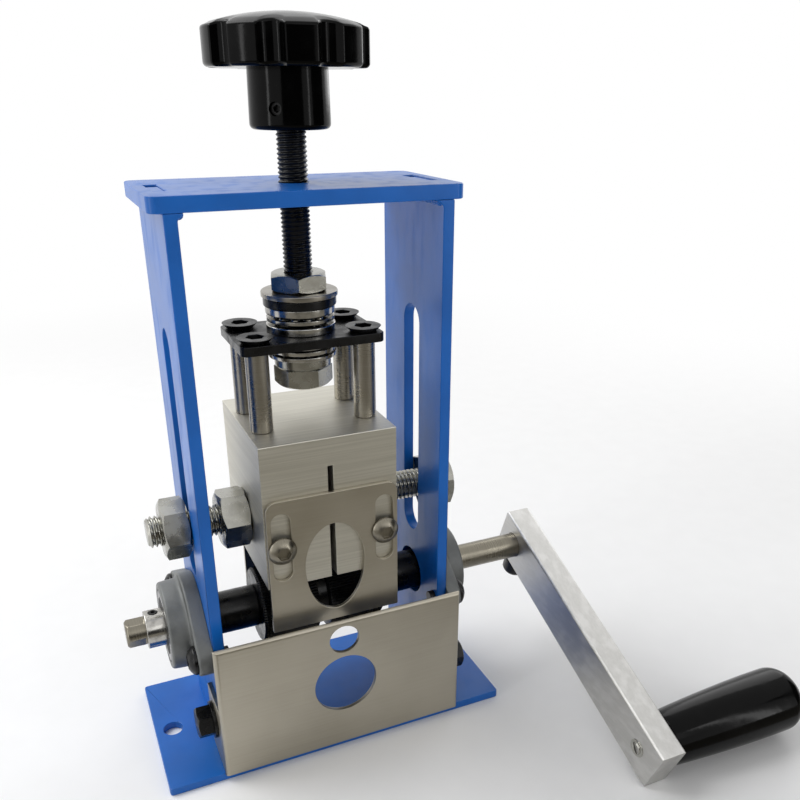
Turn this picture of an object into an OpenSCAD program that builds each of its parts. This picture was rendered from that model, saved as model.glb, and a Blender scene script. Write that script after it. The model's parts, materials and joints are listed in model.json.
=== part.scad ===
// Hand-cranked wire stripper: a welded frame, a screw-fed blade block and a driven feed roller.
// Origin: middle of the base plate's underside. +X: crank side, -Y: guard side, +Z: up.

/* [Base and frame] */
// Length of the base plate along the shaft
base_w = 168; // [160:1:190]
// Width of the base plate's edge behind the side plates
base_back_margin = 7; // [1:0.5:10]
// Thickness of the base plate
base_t = 4; // [3:0.5:8]
// Corner radius of the base plate
base_corner_r = 1.5; // [1:0.5:10]
// Distance from an end of the base plate to its bench bolt hole
bench_hole_inset = 8.3; // [7.5:0.1:12]
// Diameter of the bench bolt holes
bench_hole_d = 9; // [5:0.5:9]
// Clear width between the two side plates
side_gap = 104; // [100:1:112]
// Thickness of a side plate
side_t = 5; // [4:0.5:6]
// Distance from a flange screw to the side plate's edge
flange_screw_edge = 4; // [3.6:0.1:6]
// Height of the side plates from the base to the top plate
side_h = 246; // [240:1:270]
// How far the top plate stands out past the side plates
top_overhang = 5; // [1:0.5:8]
// Thickness of the top plate
top_t = 6; // [5:0.5:8]
// Corner radius of the top plate
top_corner_r = 4; // [1:0.5:8]
// Length of a mortise in the top plate
mortise_d = 25; // [20:1:30]
// Length of the tenon that stands in a mortise
tenon_d = 21; // [15:1:24]
// Distance from the plate's front edge to a mortise
mortise_inset = 16; // [12:1:20]
// How far a tenon's end lies below the top face
tenon_recess = 0.5; // [0.2:0.1:1.5]
// Leg of the weld bead along a side plate
weld_leg = 2.5; // [1:0.5:4]
// Height of the bottom end of the slot for the cross bolt
slot_low_z = 88; // [87:0.5:96]
// Height of the top end of the slot
slot_high_z = 202; // [190:1:215]
// Width of the slot
slot_w = 16; // [15:0.5:20]
// Room around the drive shaft's sleeve in its hole
sleeve_hole_room = 2.1; // [0.6:0.1:3]

/* [Front guard] */
// Thickness of the guard's sheet
guard_t = 2; // [1.5:0.1:2.5]
// Height of the guard
guard_h = 68.8; // [68:0.2:72]
// Distance from the side plates' front edges to the guard's front face
guard_reach = 11.5; // [8:0.5:12.5]
// Gap between the guard and the base plate's front edge
guard_gap = 0.3; // [0.3:0.1:2]
// How far the guard's front hangs below the base plate's top
guard_overhang = 0.8; // [0.2:0.1:2]
// Gap under the guard's side tabs
guard_lift = 0.5; // [0.3:0.1:3]
// Depth of the guard's side tabs
guard_tab_d = 26.5; // [25:0.5:29]
// Height of the guard's side tabs
guard_tab_h = 33.5; // [30:0.5:36]
// Diameter of the guard's large hole
guard_big_hole_d = 30; // [20:1:32]
// Height of the large hole's centre
guard_big_hole_z = 37.9; // [34:0.1:39]
// Diameter of the guard's small hole
guard_small_hole_d = 14; // [8:1:14]
// Height of the small hole's centre
guard_small_hole_z = 62.4; // [61.4:0.1:63.4]
// Diameter of a guard bolt
guard_bolt_d = 8; // [5:1:8]
// Width across flats of a guard bolt's head
guard_bolt_af = 13; // [12:0.5:15]
// Height of a guard bolt's head
guard_bolt_head_h = 6.8; // [4:0.1:8]
// Height of the guard bolts above the bench
guard_bolt_z = 25; // [22:0.5:28]
// Distance from a side plate's front edge to a guard bolt
guard_bolt_inset = 4.5; // [4.5:0.1:6]
// Diameter of a guard washer
guard_washer_d = 17; // [16:0.5:20]
// Thickness of a guard washer
guard_washer_t = 1.6; // [1:0.1:2.5]
// Length of a guard bolt's end past the side plate
guard_bolt_end = 2; // [0.5:0.5:5]

/* [Shaft bearings] */
// Height of the drive shaft above the bench
shaft_z = 63.6; // [62:0.1:65]
// Thickness of a bearing housing's flange
flange_t = 7; // [5:0.5:9]
// Step from the boss to the edge of the flange's round middle
flange_hub_step = 2.3; // [2.2:0.1:3]
// Distance from the flange's round middle to a flange screw
flange_screw_out = 4.4; // [4.3:0.1:5]
// Radius of a flange's ear
flange_ear_r = 7.5; // [7:0.5:9]
// Wall of the housing's boss around the bearing
boss_wall = 3.8; // [3:0.1:4.2]
// Length of the boss past the flange
boss_len = 9; // [7:0.5:12]
// Turn of the left housing about the shaft
flange_angle_left = 8; // [0:1:10]
// Turn of the right housing about the shaft
flange_angle_right = 2; // [0:1:10]
// Diameter of a flange screw
flange_screw_d = 6; // [4:0.5:6]
// Head diameter of a flange screw
flange_screw_head_d = 13; // [10:0.5:13]
// Head height of a flange screw
flange_screw_head_h = 4.4; // [3:0.1:6]
// Length of a flange screw's end past the side plate
flange_screw_end = 2.5; // [1:0.5:6]
// Thickness of the outer ring's wall
outer_ring_wall = 3.2; // [2.8:0.1:3.5]
// Width of the outer ring
outer_ring_w = 12; // [10:0.5:13]
// Thickness of the wall of the inner ring and its collar
inner_ring_wall = 2.2; // [2:0.1:2.5]
// Room between the inner and the outer ring
ring_room = 4.6; // [4.3:0.1:4.8]
// Length of the left inner ring's collar past the boss
inner_ring_end = 8.5; // [6:0.5:11]
// Depth to which a bearing ball sits in each ring's groove
ball_sink = 0.35; // [0.2:0.05:0.5]
// Thickness of a bearing's seal
seal_t = 1; // [0.6:0.1:1.5]
// Diameter of the set screw in the left inner ring
set_screw_d = 4; // [3:0.5:5]

/* [Drive] */
// Diameter of the drive shaft
shaft_d = 13; // [12.4:0.2:13.6]
// Length of the shaft's stub past the left inner ring
shaft_stub = 8.7; // [7:0.1:14]
// Chamfer at the shaft's free end
shaft_chamfer = 1; // [0.5:0.1:1.5]
// Depth of the three drill flats on the stub
shaft_flat_cut = 0.8; // [0.3:0.1:1]
// Diameter of the feed roller
roller_d = 36; // [32:0.5:36.5]
// Length of the feed roller
roller_w = 60; // [56:1:61]
// Width of the roller's groove under the blade
groove_w = 5.4; // [4.4:0.2:8]
// Depth of the roller's groove
groove_depth = 3.3; // [3.3:0.1:4]
// Wall of the sleeves beside the roller
sleeve_wall = 3.4; // [3:0.1:3.7]
// Thickness of the crank's bar along the shaft
crank_t = 13; // [11:0.5:14]
// Width of the crank's bar
crank_w = 26; // [24:0.5:26.5]
// Distance from the shaft to the bar's near end
crank_back = 13; // [12:0.5:15]
// Distance from the handle's axis to the bar's far end
crank_end = 13.2; // [11:0.2:13.6]
// Distance from the right side plate to the bar
crank_offset = 56.2; // [50:0.2:70]
// Angle of the bar below level, towards the front
crank_drop = 21.9; // [16:0.1:21.9]
// Chamfer along the bar's edges
crank_chamfer = 0.8; // [0.4:0.1:1.5]
// Distance from the shaft to the handle's axis
handle_radius = 124.2; // [118:0.2:125]
// Diameter of the clamp screw
clamp_screw_d = 8; // [5:0.5:8.5]
// Head diameter of the clamp screw
clamp_head_d = 13; // [10:0.5:13]
// Head height of the clamp screw
clamp_head_h = 10; // [6:0.5:12]
// Length of the handle
handle_len = 78; // [70:1:90]
// Diameter of the handle beside the bar
handle_d_near = 25; // [22:0.5:26]
// Largest diameter of the handle
handle_d_far = 30.8; // [28:0.2:33]
// Radius of the handle's rounded end
handle_end_r = 9; // [6:0.5:11]
// Diameter of the handle bolt's shoulder
handle_bolt_d = 9; // [8:0.5:10]
// Diameter of the handle bolt's threaded end
handle_thread_d = 6.6; // [5:0.2:8]
// Head diameter of the handle bolt
handle_bolt_head_d = 13; // [12:0.5:15]
// Head height of the handle bolt
handle_bolt_head_h = 5; // [4:0.5:8]
// Depth from the handle's end to the bolt's head
handle_head_recess = 2; // [1:0.5:4]

/* [Blade block] */
// Width of the block
block_w = 61; // [58:0.5:64]
// How far the block stands out past the side plates' edges
block_overhang = 1; // [1:0.1:2]
// Height of the block
block_h = 67.3; // [66:0.1:74]
// Height of the block's underside above the bench
block_z = 90.2; // [90:0.1:93]
// Distance from the blade's edge to the block's front face
blade_margin = 2; // [1.6:0.1:3]
// How far the blade stands out below the block
blade_reach = 7.5; // [6.5:0.1:7.6]
// Thickness of the blade
blade_t = 2; // [1.4:0.1:2]
// Width of the blade's ground edge
blade_bevel = 4; // [2:0.5:6]
// Width of the block's slot for the blade
blade_slot_w = 2.4; // [2.4:0.1:4]
// Room above the blade in its slot
blade_slot_room = 1.8; // [1:0.1:3]
// Diameter of the cross bolt
cross_bolt_d = 14; // [12:0.5:14.5]
// Length of the cross bolt's end past the outer nut
cross_bolt_end = 6.2; // [3:0.1:8]
// Width across flats of the cross bolt's head and nuts
cross_nut_af = 24; // [21:0.5:25]
// Thickness of the outer nut
outer_nut_t = 11.5; // [10:0.1:14]
// Thickness of the inner nut
inner_nut_t = 13; // [10:0.1:15]
// Thickness of the cross bolt's head
cross_head_t = 13; // [9:0.5:14]

/* [Wire guides] */
// Width of the front guide plate
guide_w = 60; // [58:0.5:61]
// Thickness of a guide plate
guide_t = 2; // [1.5:0.1:2.4]
// Height of the front guide plate
guide_h = 64; // [63:0.5:66]
// Height of the front guide plate's lower edge above the bench
guide_z = 69; // [68.5:0.1:70]
// Corner radius of the guide plate's top
guide_corner_r = 5; // [2:0.5:7]
// Length of a guide plate's slot
guide_slot_h = 32.7; // [28:0.1:33]
// Width of a guide plate's slot
guide_slot_w = 8.5; // [8.2:0.1:9.5]
// Distance from the guide plate's lower edge to its slots
guide_slot_up = 25.5; // [25:0.1:26]
// Distance between the two guide screws
guide_screw_spacing = 47.4; // [46:0.2:48]
// Height of the guide screws above the block's underside
guide_screw_up = 19.4; // [19:0.1:21]
// Diameter of a guide screw
guide_screw_d = 8; // [6:0.2:8]
// Head diameter of a guide screw
guide_head_d = 12.6; // [11:0.2:13]
// Head height of a guide screw
guide_head_h = 4; // [3:0.1:5]
// Length of a guide screw in the block
guide_screw_depth = 12; // [8:1:16]
// Width of the wire opening
opening_w = 27.6; // [20:0.2:30]
// Height of the wire opening's widest line above the guide's lower edge
opening_mid_up = 29; // [28:0.1:30]
// Height of the opening above its widest line
opening_up = 20; // [16:0.5:22]
// Height of the opening below its widest line
opening_down = 23.4; // [20:0.1:24]
// Width of the rear guide plate
rear_guide_w = 53; // [50:0.5:58]
// Height of the rear guide plate
rear_guide_h = 76; // [74:0.5:80]
// Height of the rear guide plate's lower edge above the bench
rear_guide_z = 50; // [49:0.5:52]
// Distance between the rear guide's screws
rear_screw_spacing = 40; // [36:0.5:42]
// Diameter of a rear guide screw
rear_screw_d = 5; // [4:0.5:6]
// Head diameter of a rear guide screw
rear_head_d = 9; // [8:0.5:10]
// Head height of a rear guide screw
rear_head_h = 2.8; // [2:0.1:4]

/* [Pressure head] */
// Distance between the posts along the shaft
post_spacing_x = 47; // [46:0.5:50]
// Distance between the posts across the shaft
post_spacing_y = 26; // [24:0.5:32]
// Outer diameter of a post
post_d = 9.8; // [9.4:0.2:12]
// Height of the posts
post_h = 34.5; // [33:0.5:40]
// Width of the retainer plate
retainer_w = 62; // [60:0.5:64]
// Depth of the retainer plate
retainer_d = 40; // [39:0.5:48]
// Thickness of the retainer plate
retainer_t = 4; // [3:0.5:5]
// Corner radius of the retainer plate
retainer_corner_r = 3; // [1:0.5:6]
// Diameter of a countersunk screw
post_screw_d = 8; // [6:0.2:8]
// Head diameter of a countersunk screw
post_head_d = 15.5; // [14:0.1:16]
// Height that a countersunk head stands above the plate
post_head_proud = 2.3; // [1.6:0.1:2.6]
// Length of a countersunk screw in the block
post_screw_depth = 12; // [8:1:16]
// Outer diameter of the thrust bearings
thrust_d = 29.6; // [28:0.2:32]
// Height of the lower thrust bearing
thrust_low_h = 7; // [6.6:0.1:7.5]
// Height of the upper thrust bearing
thrust_high_h = 11; // [9:0.5:12]
// Diameter of a ball in the lower thrust bearing
thrust_low_ball_d = 2.8; // [2.2:0.1:3]
// Diameter of a ball in the upper thrust bearing
thrust_high_ball_d = 4; // [3.4:0.1:4.4]
// Thickness of a thrust bearing's cage
thrust_cage_t = 1.6; // [1.2:0.1:2]

/* [Screw and knob] */
// Diameter of the pressure screw
screw_d = 12; // [10:0.5:13]
// Width across flats of the screw's hex head
screw_head_af = 22; // [20:0.5:24]
// Height of the screw's hex head
screw_head_h = 8.3; // [7:0.1:10]
// Diameter of the collar above the hex head
collar_d = 24.4; // [22:0.2:28]
// Height of the collar
collar_h = 4.7; // [3:0.1:6]
// Diameter of the spacer ring
spacer_d = 31; // [28:0.5:34]
// Height of the spacer ring
spacer_h = 3.7; // [2.5:0.1:4]
// Diameter of the large washer
washer_d = 32.4; // [30:0.2:36]
// Thickness of the large washer
washer_t = 2.3; // [1.5:0.1:3]
// Width across flats of the lock nut
lock_nut_af = 22.5; // [19:0.5:24]
// Height of the lock nut
lock_nut_h = 7.5; // [6:0.5:8]
// Height of the knob's underside above the bench
knob_z = 275.5; // [272:0.5:300]
// Height of the knob's hub below its lobes
hub_h = 21.5; // [18:0.5:30]
// Diameter of the hub's lower end
hub_d_low = 31.4; // [29:0.2:32]
// Diameter of the hub under the lobes
hub_d_high = 32.8; // [32:0.2:36]
// Rounding of the hub's lower edge
hub_edge_r = 2; // [1:0.5:4]
// Diameter over the knob's lobes
knob_d = 63; // [58:0.5:70]
// Height of the lobes at their rim
lobe_h = 14; // [11:0.5:16]
// Height of the dome above the rim
dome_h = 5; // [3:0.5:7]
// Radius of the scallops between the lobes
scallop_r = 5; // [4:0.5:6.5]
// Depth of the scallops
scallop_depth = 4; // [2:0.5:5]
// Rounding of the lobes' lower edge
lobe_edge_r = 2.5; // [1:0.5:4]
// Outer diameter of the knob's metal insert
insert_d = 18; // [16:0.5:22]
// Diameter of the knob's grub screw
grub_d = 4.8; // [3:0.2:6]
// Height of the grub screw above the hub's lower end
grub_up = 7.5; // [5:0.5:10]

/* [Hidden] */
$fn = 96;

frame_blue = [0.16, 0.38, 0.74];
stainless = [0.58, 0.55, 0.50];
brushed_aluminium = [0.72, 0.71, 0.68];
bright_steel = [0.66, 0.66, 0.67];
zinc_steel = [0.62, 0.63, 0.60];
black_steel = [0.07, 0.07, 0.08];
cast_grey = [0.50, 0.51, 0.50];
bearing_steel = [0.74, 0.74, 0.76];
seal_black = [0.10, 0.10, 0.10];
black_plastic = [0.03, 0.03, 0.03];

overrun = 1;
fine_gap = 0.05;
slide_gap = 0.1;
touch_gap = 0.02;
body_gap = 0.3;
ball_gap = 0.2;

hex_sides = 6;
hex_half = 30;
lobe_count = 9;
bearing_ball_count = 9;
thrust_ball_count = 12;
outline_steps = 48;
arc_steps = 12;
flat_count = 3;

inner_ring_d = shaft_d + 2 * inner_ring_wall;
outer_ring_d = inner_ring_d + 2 * (ring_room + outer_ring_wall);
bearing_ball_d = ring_room + 2 * ball_sink;
boss_d = outer_ring_d + 2 * boss_wall;
flange_hub_d = boss_d + 2 * flange_hub_step;
flange_screw_spacing = flange_hub_d + 2 * flange_screw_out;
side_d = flange_screw_spacing + 2 * flange_screw_edge;
bench_hole_spacing = base_w - 2 * bench_hole_inset;
side_in_x = side_gap / 2;
side_out_x = side_in_x + side_t;
top_w = 2 * (side_out_x + top_overhang);
top_z = base_t + side_h;
mortise_front_y = mortise_inset - side_d / 2;
guard_front_y = -side_d / 2 - guard_reach;
guard_low_z = base_t - guard_overhang;
guard_tab_z = base_t + guard_lift;
base_front_y = guard_front_y + guard_t + guard_gap;
base_back_y = side_d / 2 + base_back_margin;
guard_bolt_y = guard_bolt_inset - side_d / 2;
guard_out_x = side_out_x + guard_t;
guard_head_x = guard_out_x + guard_washer_t;

flange_out_x = side_out_x + flange_t;
boss_out_x = flange_out_x + boss_len;
ring_x = boss_out_x - seal_t;
ring_in_x = ring_x - outer_ring_w;
collar_out_x = boss_out_x + inner_ring_end;
race_pitch_r = (inner_ring_d / 2 + outer_ring_d / 2 - outer_ring_wall) / 2;
ball_track_x = ring_x - outer_ring_w / 2;
track_r = bearing_ball_d / 2 + ball_gap;
seal_gap = 0.2;
set_screw_x = boss_out_x + inner_ring_end / 2;

sleeve_d = shaft_d + 2 * sleeve_wall;
sleeve_hole_d = sleeve_d + 2 * sleeve_hole_room;
shaft_r = shaft_d / 2;
crank_x = side_out_x + crank_offset;
crank_out_x = crank_x + crank_t;
shaft_end_x = crank_out_x - overrun;
crank_reach = handle_radius + crank_end;
stub_x = collar_out_x + shaft_stub;
handle_x = crank_out_x + body_gap;
handle_out_x = handle_x + handle_len;
handle_head_x = handle_out_x - handle_head_recess - handle_bolt_head_h;
handle_shoulder_gap = 0.6;

block_d = side_d + 2 * block_overhang;
blade_d = block_d - 2 * blade_margin;
blade_r = blade_d / 2;
blade_axis_up = blade_r - blade_reach;
blade_z = block_z + blade_axis_up;
blade_slot_h = blade_axis_up + blade_r + blade_slot_room;
outer_nut_x = side_out_x + body_gap;
bolt_left_x = outer_nut_x + outer_nut_t + cross_bolt_end;
block_front_y = -block_d / 2;
guide_front_y = block_front_y - slide_gap - guide_t;
guide_screw_z = block_z + guide_screw_up;
opening_z = guide_z + opening_mid_up;
rear_screw_z = guide_screw_z;

block_top_z = block_z + block_h;
retainer_z = block_top_z + post_h;
retainer_top_z = retainer_z + retainer_t;
collar_top_z = retainer_z - thrust_low_h;
head_z = collar_top_z - collar_h - screw_head_h;
spacer_z = retainer_top_z + thrust_high_h;
large_washer_z = spacer_z + spacer_h;
lock_nut_z = large_washer_z + washer_t;
screw_r = screw_d / 2;
screw_top_z = knob_z + hub_h;
hole_room = 1.5;
thrust_pitch_r = (thrust_d / 2 + screw_r) / 2;
post_head_cone_h = (post_head_d - post_screw_d) / 2;
knob_rim_z = knob_z + hub_h;
knob_angle = -96;
screw_angle = -107;
grub_angle = -127;
cross_head_angle = 12;
inner_nut_angle = 23;
outer_nut_angle = 38;
socket_share = 0.5;
low_cheek_share = 0.2;
socket_depth_share = 0.55;

// A rod along X from x0 to x1
module x_rod(d, x0, x1) {
    translate([x0, 0, 0])
        rotate([0, 90, 0])
            cylinder(d = d, h = x1 - x0);
}

// A ring along X from x0 to x1
module x_ring(d, bore, x0, x1) {
    difference() {
        x_rod(d, x0, x1);
        x_rod(bore, x0 - overrun, x1 + overrun);
    }
}

// A hexagonal bar along X, turned about its axis
module x_hex(af, x0, x1, turn = 0) {
    translate([x0, 0, 0])
        rotate([turn, 0, 0])
            rotate([0, 90, 0])
                cylinder(d = af / cos(hex_half), h = x1 - x0, $fn = hex_sides);
}

// A hexagonal bar along Z
module z_hex(af, h, turn = 0) {
    rotate([0, 0, turn])
        cylinder(d = af / cos(hex_half), h = h, $fn = hex_sides);
}

// A ring along Z
module z_ring(d, bore, h) {
    difference() {
        cylinder(d = d, h = h);
        translate([0, 0, -overrun])
            cylinder(d = bore, h = h + 2 * overrun);
    }
}

// A rectangle with four rounded corners, made of exact arcs
module round_rect(w, d, r) {
    square([w - 2 * r, d], center = true);
    square([w, d - 2 * r], center = true);
    for (x = [-1, 1], y = [-1, 1])
        translate([x * (w / 2 - r), y * (d / 2 - r)])
            circle(r = r);
}

// An upright slot whose ends are half circles
module slot_outline(w, low, high) {
    translate([-w / 2, low + w / 2])
        square([w, high - low - w]);
    for (y = [low + w / 2, high - w / 2])
        translate([0, y])
            circle(d = w);
}

// Children drawn on the XZ plane, standing from y0 towards +Y
module on_front(y0, t) {
    translate([0, y0 + t, 0])
        rotate([90, 0, 0])
            linear_extrude(t)
                children();
}

// Children drawn with X as Y and Y as Z, standing from x0 towards +X
module on_side(x0, t) {
    translate([x0, 0, 0])
        rotate([90, 0, 90])
            linear_extrude(t)
                children();
}

// Children at +X, and mirrored to -X
module both_sides() {
    children();
    mirror([1, 0, 0])
        children();
}

// The oval outline of a two-screw flange: two ears joined to a round middle by tangents
module flange_outline(hub_r, ear_r, reach) {
    lean = acos((hub_r - ear_r) / reach);
    circle(r = hub_r);
    for (side = [-1, 1])
        translate([side * reach, 0])
            circle(r = ear_r);
    for (side = [-1, 1])
        polygon([
            [0, 0],
            [side * hub_r * cos(lean), hub_r * sin(lean)],
            [side * (reach + ear_r * cos(lean)), ear_r * sin(lean)],
            [side * (reach + ear_r * cos(lean)), -ear_r * sin(lean)],
            [side * hub_r * cos(lean), -hub_r * sin(lean)]]);
}

// The egg-shaped outline of the wire opening
module opening_outline() {
    polygon([for (i = [0 : outline_steps - 1])
        let (a = 360 * i / outline_steps)
            [opening_w / 2 * cos(a), sin(a) * (sin(a) > 0 ? opening_up : opening_down)]]);
}

// A round head with a hexagonal socket, standing on z = 0
// cheek_share: the straight side's share of the height
module button_head(d, h, cheek_share = 0.3) {
    cheek = h * cheek_share;
    crown_r = (pow(d / 2, 2) + pow(h - cheek, 2)) / (2 * (h - cheek));
    half = asin(d / 2 / crown_r);
    difference() {
        rotate_extrude()
            polygon(concat(
                [[0, 0], [d / 2, 0]],
                [for (i = [0 : arc_steps])
                    let (a = half * (1 - i / arc_steps))
                        [crown_r * sin(a), h - crown_r + crown_r * cos(a)]]));
        translate([0, 0, h - h * socket_depth_share])
            z_hex(d * socket_share * cos(hex_half), h);
    }
}

module base_plate() {
    color(frame_blue)
        linear_extrude(base_t)
            difference() {
                translate([0, (base_front_y + base_back_y) / 2])
                    round_rect(base_w, base_back_y - base_front_y, base_corner_r);
                for (side = [-1, 1])
                    translate([side * bench_hole_spacing / 2, 0])
                        circle(d = bench_hole_d);
            }
}

// Outline of a side plate in its own Y and Z, with its tenon
module side_outline() {
    translate([-side_d / 2, base_t])
        square([side_d, side_h]);
    translate([mortise_front_y, top_z - overrun])
        square([tenon_d, top_t - tenon_recess + overrun]);
}

// A weld bead with its corner at the origin, standing up and outwards
module weld_bead(up) {
    on_front(-side_d / 2, side_d)
        polygon([[0, 0], [-weld_leg, 0], [0, up * weld_leg]]);
}

module side_plate(turn) {
    reach = flange_screw_spacing / 2;
    difference() {
        union() {
            on_side(side_in_x, side_t)
                side_outline();
            translate([side_in_x, 0, top_z])
                weld_bead(-1);
            translate([side_in_x, 0, base_t])
                weld_bead(1);
        }
        on_side(side_in_x - overrun, side_t + 2 * overrun)
            slot_outline(slot_w, slot_low_z, slot_high_z);
        translate([0, 0, shaft_z])
            x_rod(sleeve_hole_d, side_in_x - overrun, side_out_x + overrun);
        for (end = [-1, 1])
            translate([0, end * reach * cos(turn), shaft_z + end * reach * sin(turn)])
                x_rod(flange_screw_d, side_in_x - overrun, side_out_x + overrun);
        translate([0, guard_bolt_y, guard_bolt_z])
            x_rod(guard_bolt_d, side_in_x - overrun, side_out_x + overrun);
    }
}

module side_plate_left() {
    color(frame_blue)
        mirror([1, 0, 0])
            side_plate(flange_angle_left);
}

module side_plate_right() {
    color(frame_blue)
        side_plate(flange_angle_right);
}

module top_plate() {
    color(frame_blue)
        translate([0, 0, top_z])
            linear_extrude(top_t)
                difference() {
                    round_rect(top_w, side_d, top_corner_r);
                    circle(d = screw_d + 2 * fine_gap);
                    for (side = [-1, 1])
                        translate([side * (side_in_x + side_t / 2), mortise_front_y + mortise_d / 2])
                            square([side_t, mortise_d], center = true);
                }
}

module front_guard() {
    color(stainless)
        difference() {
            union() {
                translate([-guard_out_x, guard_front_y, guard_low_z])
                    cube([2 * guard_out_x, guard_t, guard_h]);
                both_sides()
                    translate([side_out_x, guard_front_y, guard_tab_z])
                        cube([guard_t, guard_tab_d, guard_tab_h]);
            }
            on_front(guard_front_y - overrun, guard_t + 2 * overrun) {
                translate([0, guard_big_hole_z])
                    circle(d = guard_big_hole_d);
                translate([0, guard_small_hole_z])
                    circle(d = guard_small_hole_d);
            }
            both_sides()
                translate([0, guard_bolt_y, guard_bolt_z])
                    x_rod(guard_bolt_d, side_out_x - overrun, guard_out_x + overrun);
        }
}

module guard_bolts() {
    color(black_steel)
        both_sides()
            translate([0, guard_bolt_y, guard_bolt_z]) {
                x_rod(guard_bolt_d, side_in_x - guard_bolt_end, guard_head_x);
                x_hex(guard_bolt_af, guard_head_x, guard_head_x + guard_bolt_head_h);
            }
}

module guard_washers() {
    color(black_steel)
        both_sides()
            translate([0, guard_bolt_y, guard_bolt_z])
                x_ring(guard_washer_d, guard_bolt_d, guard_out_x, guard_head_x);
}

// A two-screw bearing housing on the right side plate
module bearing_housing(turn) {
    translate([0, 0, shaft_z])
        difference() {
            union() {
                rotate([turn, 0, 0])
                    on_side(side_out_x, flange_t)
                        flange_outline(flange_hub_d / 2, flange_ear_r, flange_screw_spacing / 2);
                x_rod(boss_d, side_out_x, boss_out_x);
            }
            x_rod(outer_ring_d, side_out_x - overrun, boss_out_x + overrun);
            rotate([turn, 0, 0])
                for (end = [-1, 1])
                    translate([0, end * flange_screw_spacing / 2, 0])
                        x_rod(flange_screw_d, side_out_x - overrun, flange_out_x + overrun);
        }
}

module bearing_housing_left() {
    color(cast_grey)
        mirror([1, 0, 0])
            bearing_housing(flange_angle_left);
}

module bearing_housing_right() {
    color(cast_grey)
        bearing_housing(flange_angle_right);
}

// The two screws of the right housing
module flange_screw_pair(turn) {
    translate([0, 0, shaft_z])
        rotate([turn, 0, 0])
            for (end = [-1, 1])
                translate([0, end * flange_screw_spacing / 2, 0]) {
                    x_rod(flange_screw_d, side_in_x - flange_screw_end, flange_out_x);
                    translate([flange_out_x, 0, 0])
                        rotate([0, 90, 0])
                            button_head(flange_screw_head_d, flange_screw_head_h);
                }
}

module flange_screws() {
    color(black_steel) {
        flange_screw_pair(flange_angle_right);
        mirror([1, 0, 0])
            flange_screw_pair(flange_angle_left);
    }
}

// The round groove in which a bearing's balls run
module ball_track() {
    translate([ball_track_x, 0, 0])
        rotate([0, 90, 0])
            rotate_extrude()
                translate([race_pitch_r, 0])
                    circle(r = track_r);
}

module bearing_outer_rings() {
    color(bearing_steel)
        both_sides()
            translate([0, 0, shaft_z])
                difference() {
                    x_rod(outer_ring_d, ring_in_x, boss_out_x);
                    x_rod(
                        outer_ring_d - 2 * outer_ring_wall,
                        ring_in_x - overrun,
                        boss_out_x + overrun);
                    ball_track();
                }
}

// The inner ring of the right bearing, from the side plate to out_x
module inner_ring(out_x) {
    difference() {
        x_rod(inner_ring_d, side_out_x, out_x);
        x_rod(shaft_d, side_out_x - overrun, out_x + overrun);
        ball_track();
    }
}

module bearing_inner_rings() {
    color(bearing_steel)
        translate([0, 0, shaft_z]) {
            inner_ring(boss_out_x);
            difference() {
                mirror([1, 0, 0])
                    inner_ring(collar_out_x);
                translate([-set_screw_x, 0, 0])
                    cylinder(d = set_screw_d, h = inner_ring_d);
            }
        }
}

module bearing_balls() {
    color(bearing_steel)
        both_sides()
            translate([ball_track_x, 0, shaft_z])
                for (i = [0 : bearing_ball_count - 1])
                    rotate([360 * i / bearing_ball_count, 0, 0])
                        translate([0, 0, race_pitch_r])
                            sphere(d = bearing_ball_d, $fn = 32);
}

module bearing_seals() {
    color(seal_black)
        both_sides()
            translate([0, 0, shaft_z]) {
                for (x = [ring_x, ring_in_x])
                    x_ring(
                        outer_ring_d - 2 * outer_ring_wall,
                        inner_ring_d + 2 * seal_gap,
                        x,
                        x + seal_t);
            }
}

module ring_set_screw() {
    color(black_steel)
        translate([-set_screw_x, 0, shaft_z])
            difference() {
                translate([0, 0, shaft_r])
                    cylinder(d = set_screw_d, h = (inner_ring_d - shaft_d) / 2);
                translate([0, 0, shaft_r + inner_ring_wall * (1 - socket_depth_share)])
                    z_hex(set_screw_d * socket_share * cos(hex_half), set_screw_d);
            }
}

module drive_shaft() {
    color(bright_steel)
        translate([0, 0, shaft_z])
            difference() {
                union() {
                    x_rod(shaft_d, shaft_chamfer - stub_x, shaft_end_x);
                    translate([-stub_x, 0, 0])
                        rotate([0, 90, 0])
                            cylinder(r1 = shaft_r - shaft_chamfer, r2 = shaft_r, h = shaft_chamfer);
                }
                for (i = [0 : flat_count - 1])
                    rotate([360 * i / flat_count, 0, 0])
                        translate([-stub_x - overrun, -shaft_r, shaft_r - shaft_flat_cut])
                            cube([shaft_stub + overrun / 2, shaft_d, shaft_flat_cut + overrun]);
            }
}

module feed_roller() {
    color(black_steel)
        translate([0, 0, shaft_z])
            difference() {
                x_ring(roller_d, shaft_d, -roller_w / 2, roller_w / 2);
                x_ring(roller_d + 2 * overrun, roller_d - 2 * groove_depth, -groove_w / 2, groove_w / 2);
            }
}

// The sleeve between the roller and the right bearing
module sleeve() {
    translate([0, 0, shaft_z])
        x_ring(sleeve_d, shaft_d, roller_w / 2, side_out_x);
}

module sleeve_left() {
    color(black_steel)
        mirror([1, 0, 0])
            sleeve();
}

module sleeve_right() {
    color(black_steel)
        sleeve();
}

// Children in the crank's own frame: shaft at the origin, bar towards -Y
module on_crank() {
    translate([0, 0, shaft_z])
        rotate([crank_drop, 0, 0])
            children();
}

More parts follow.
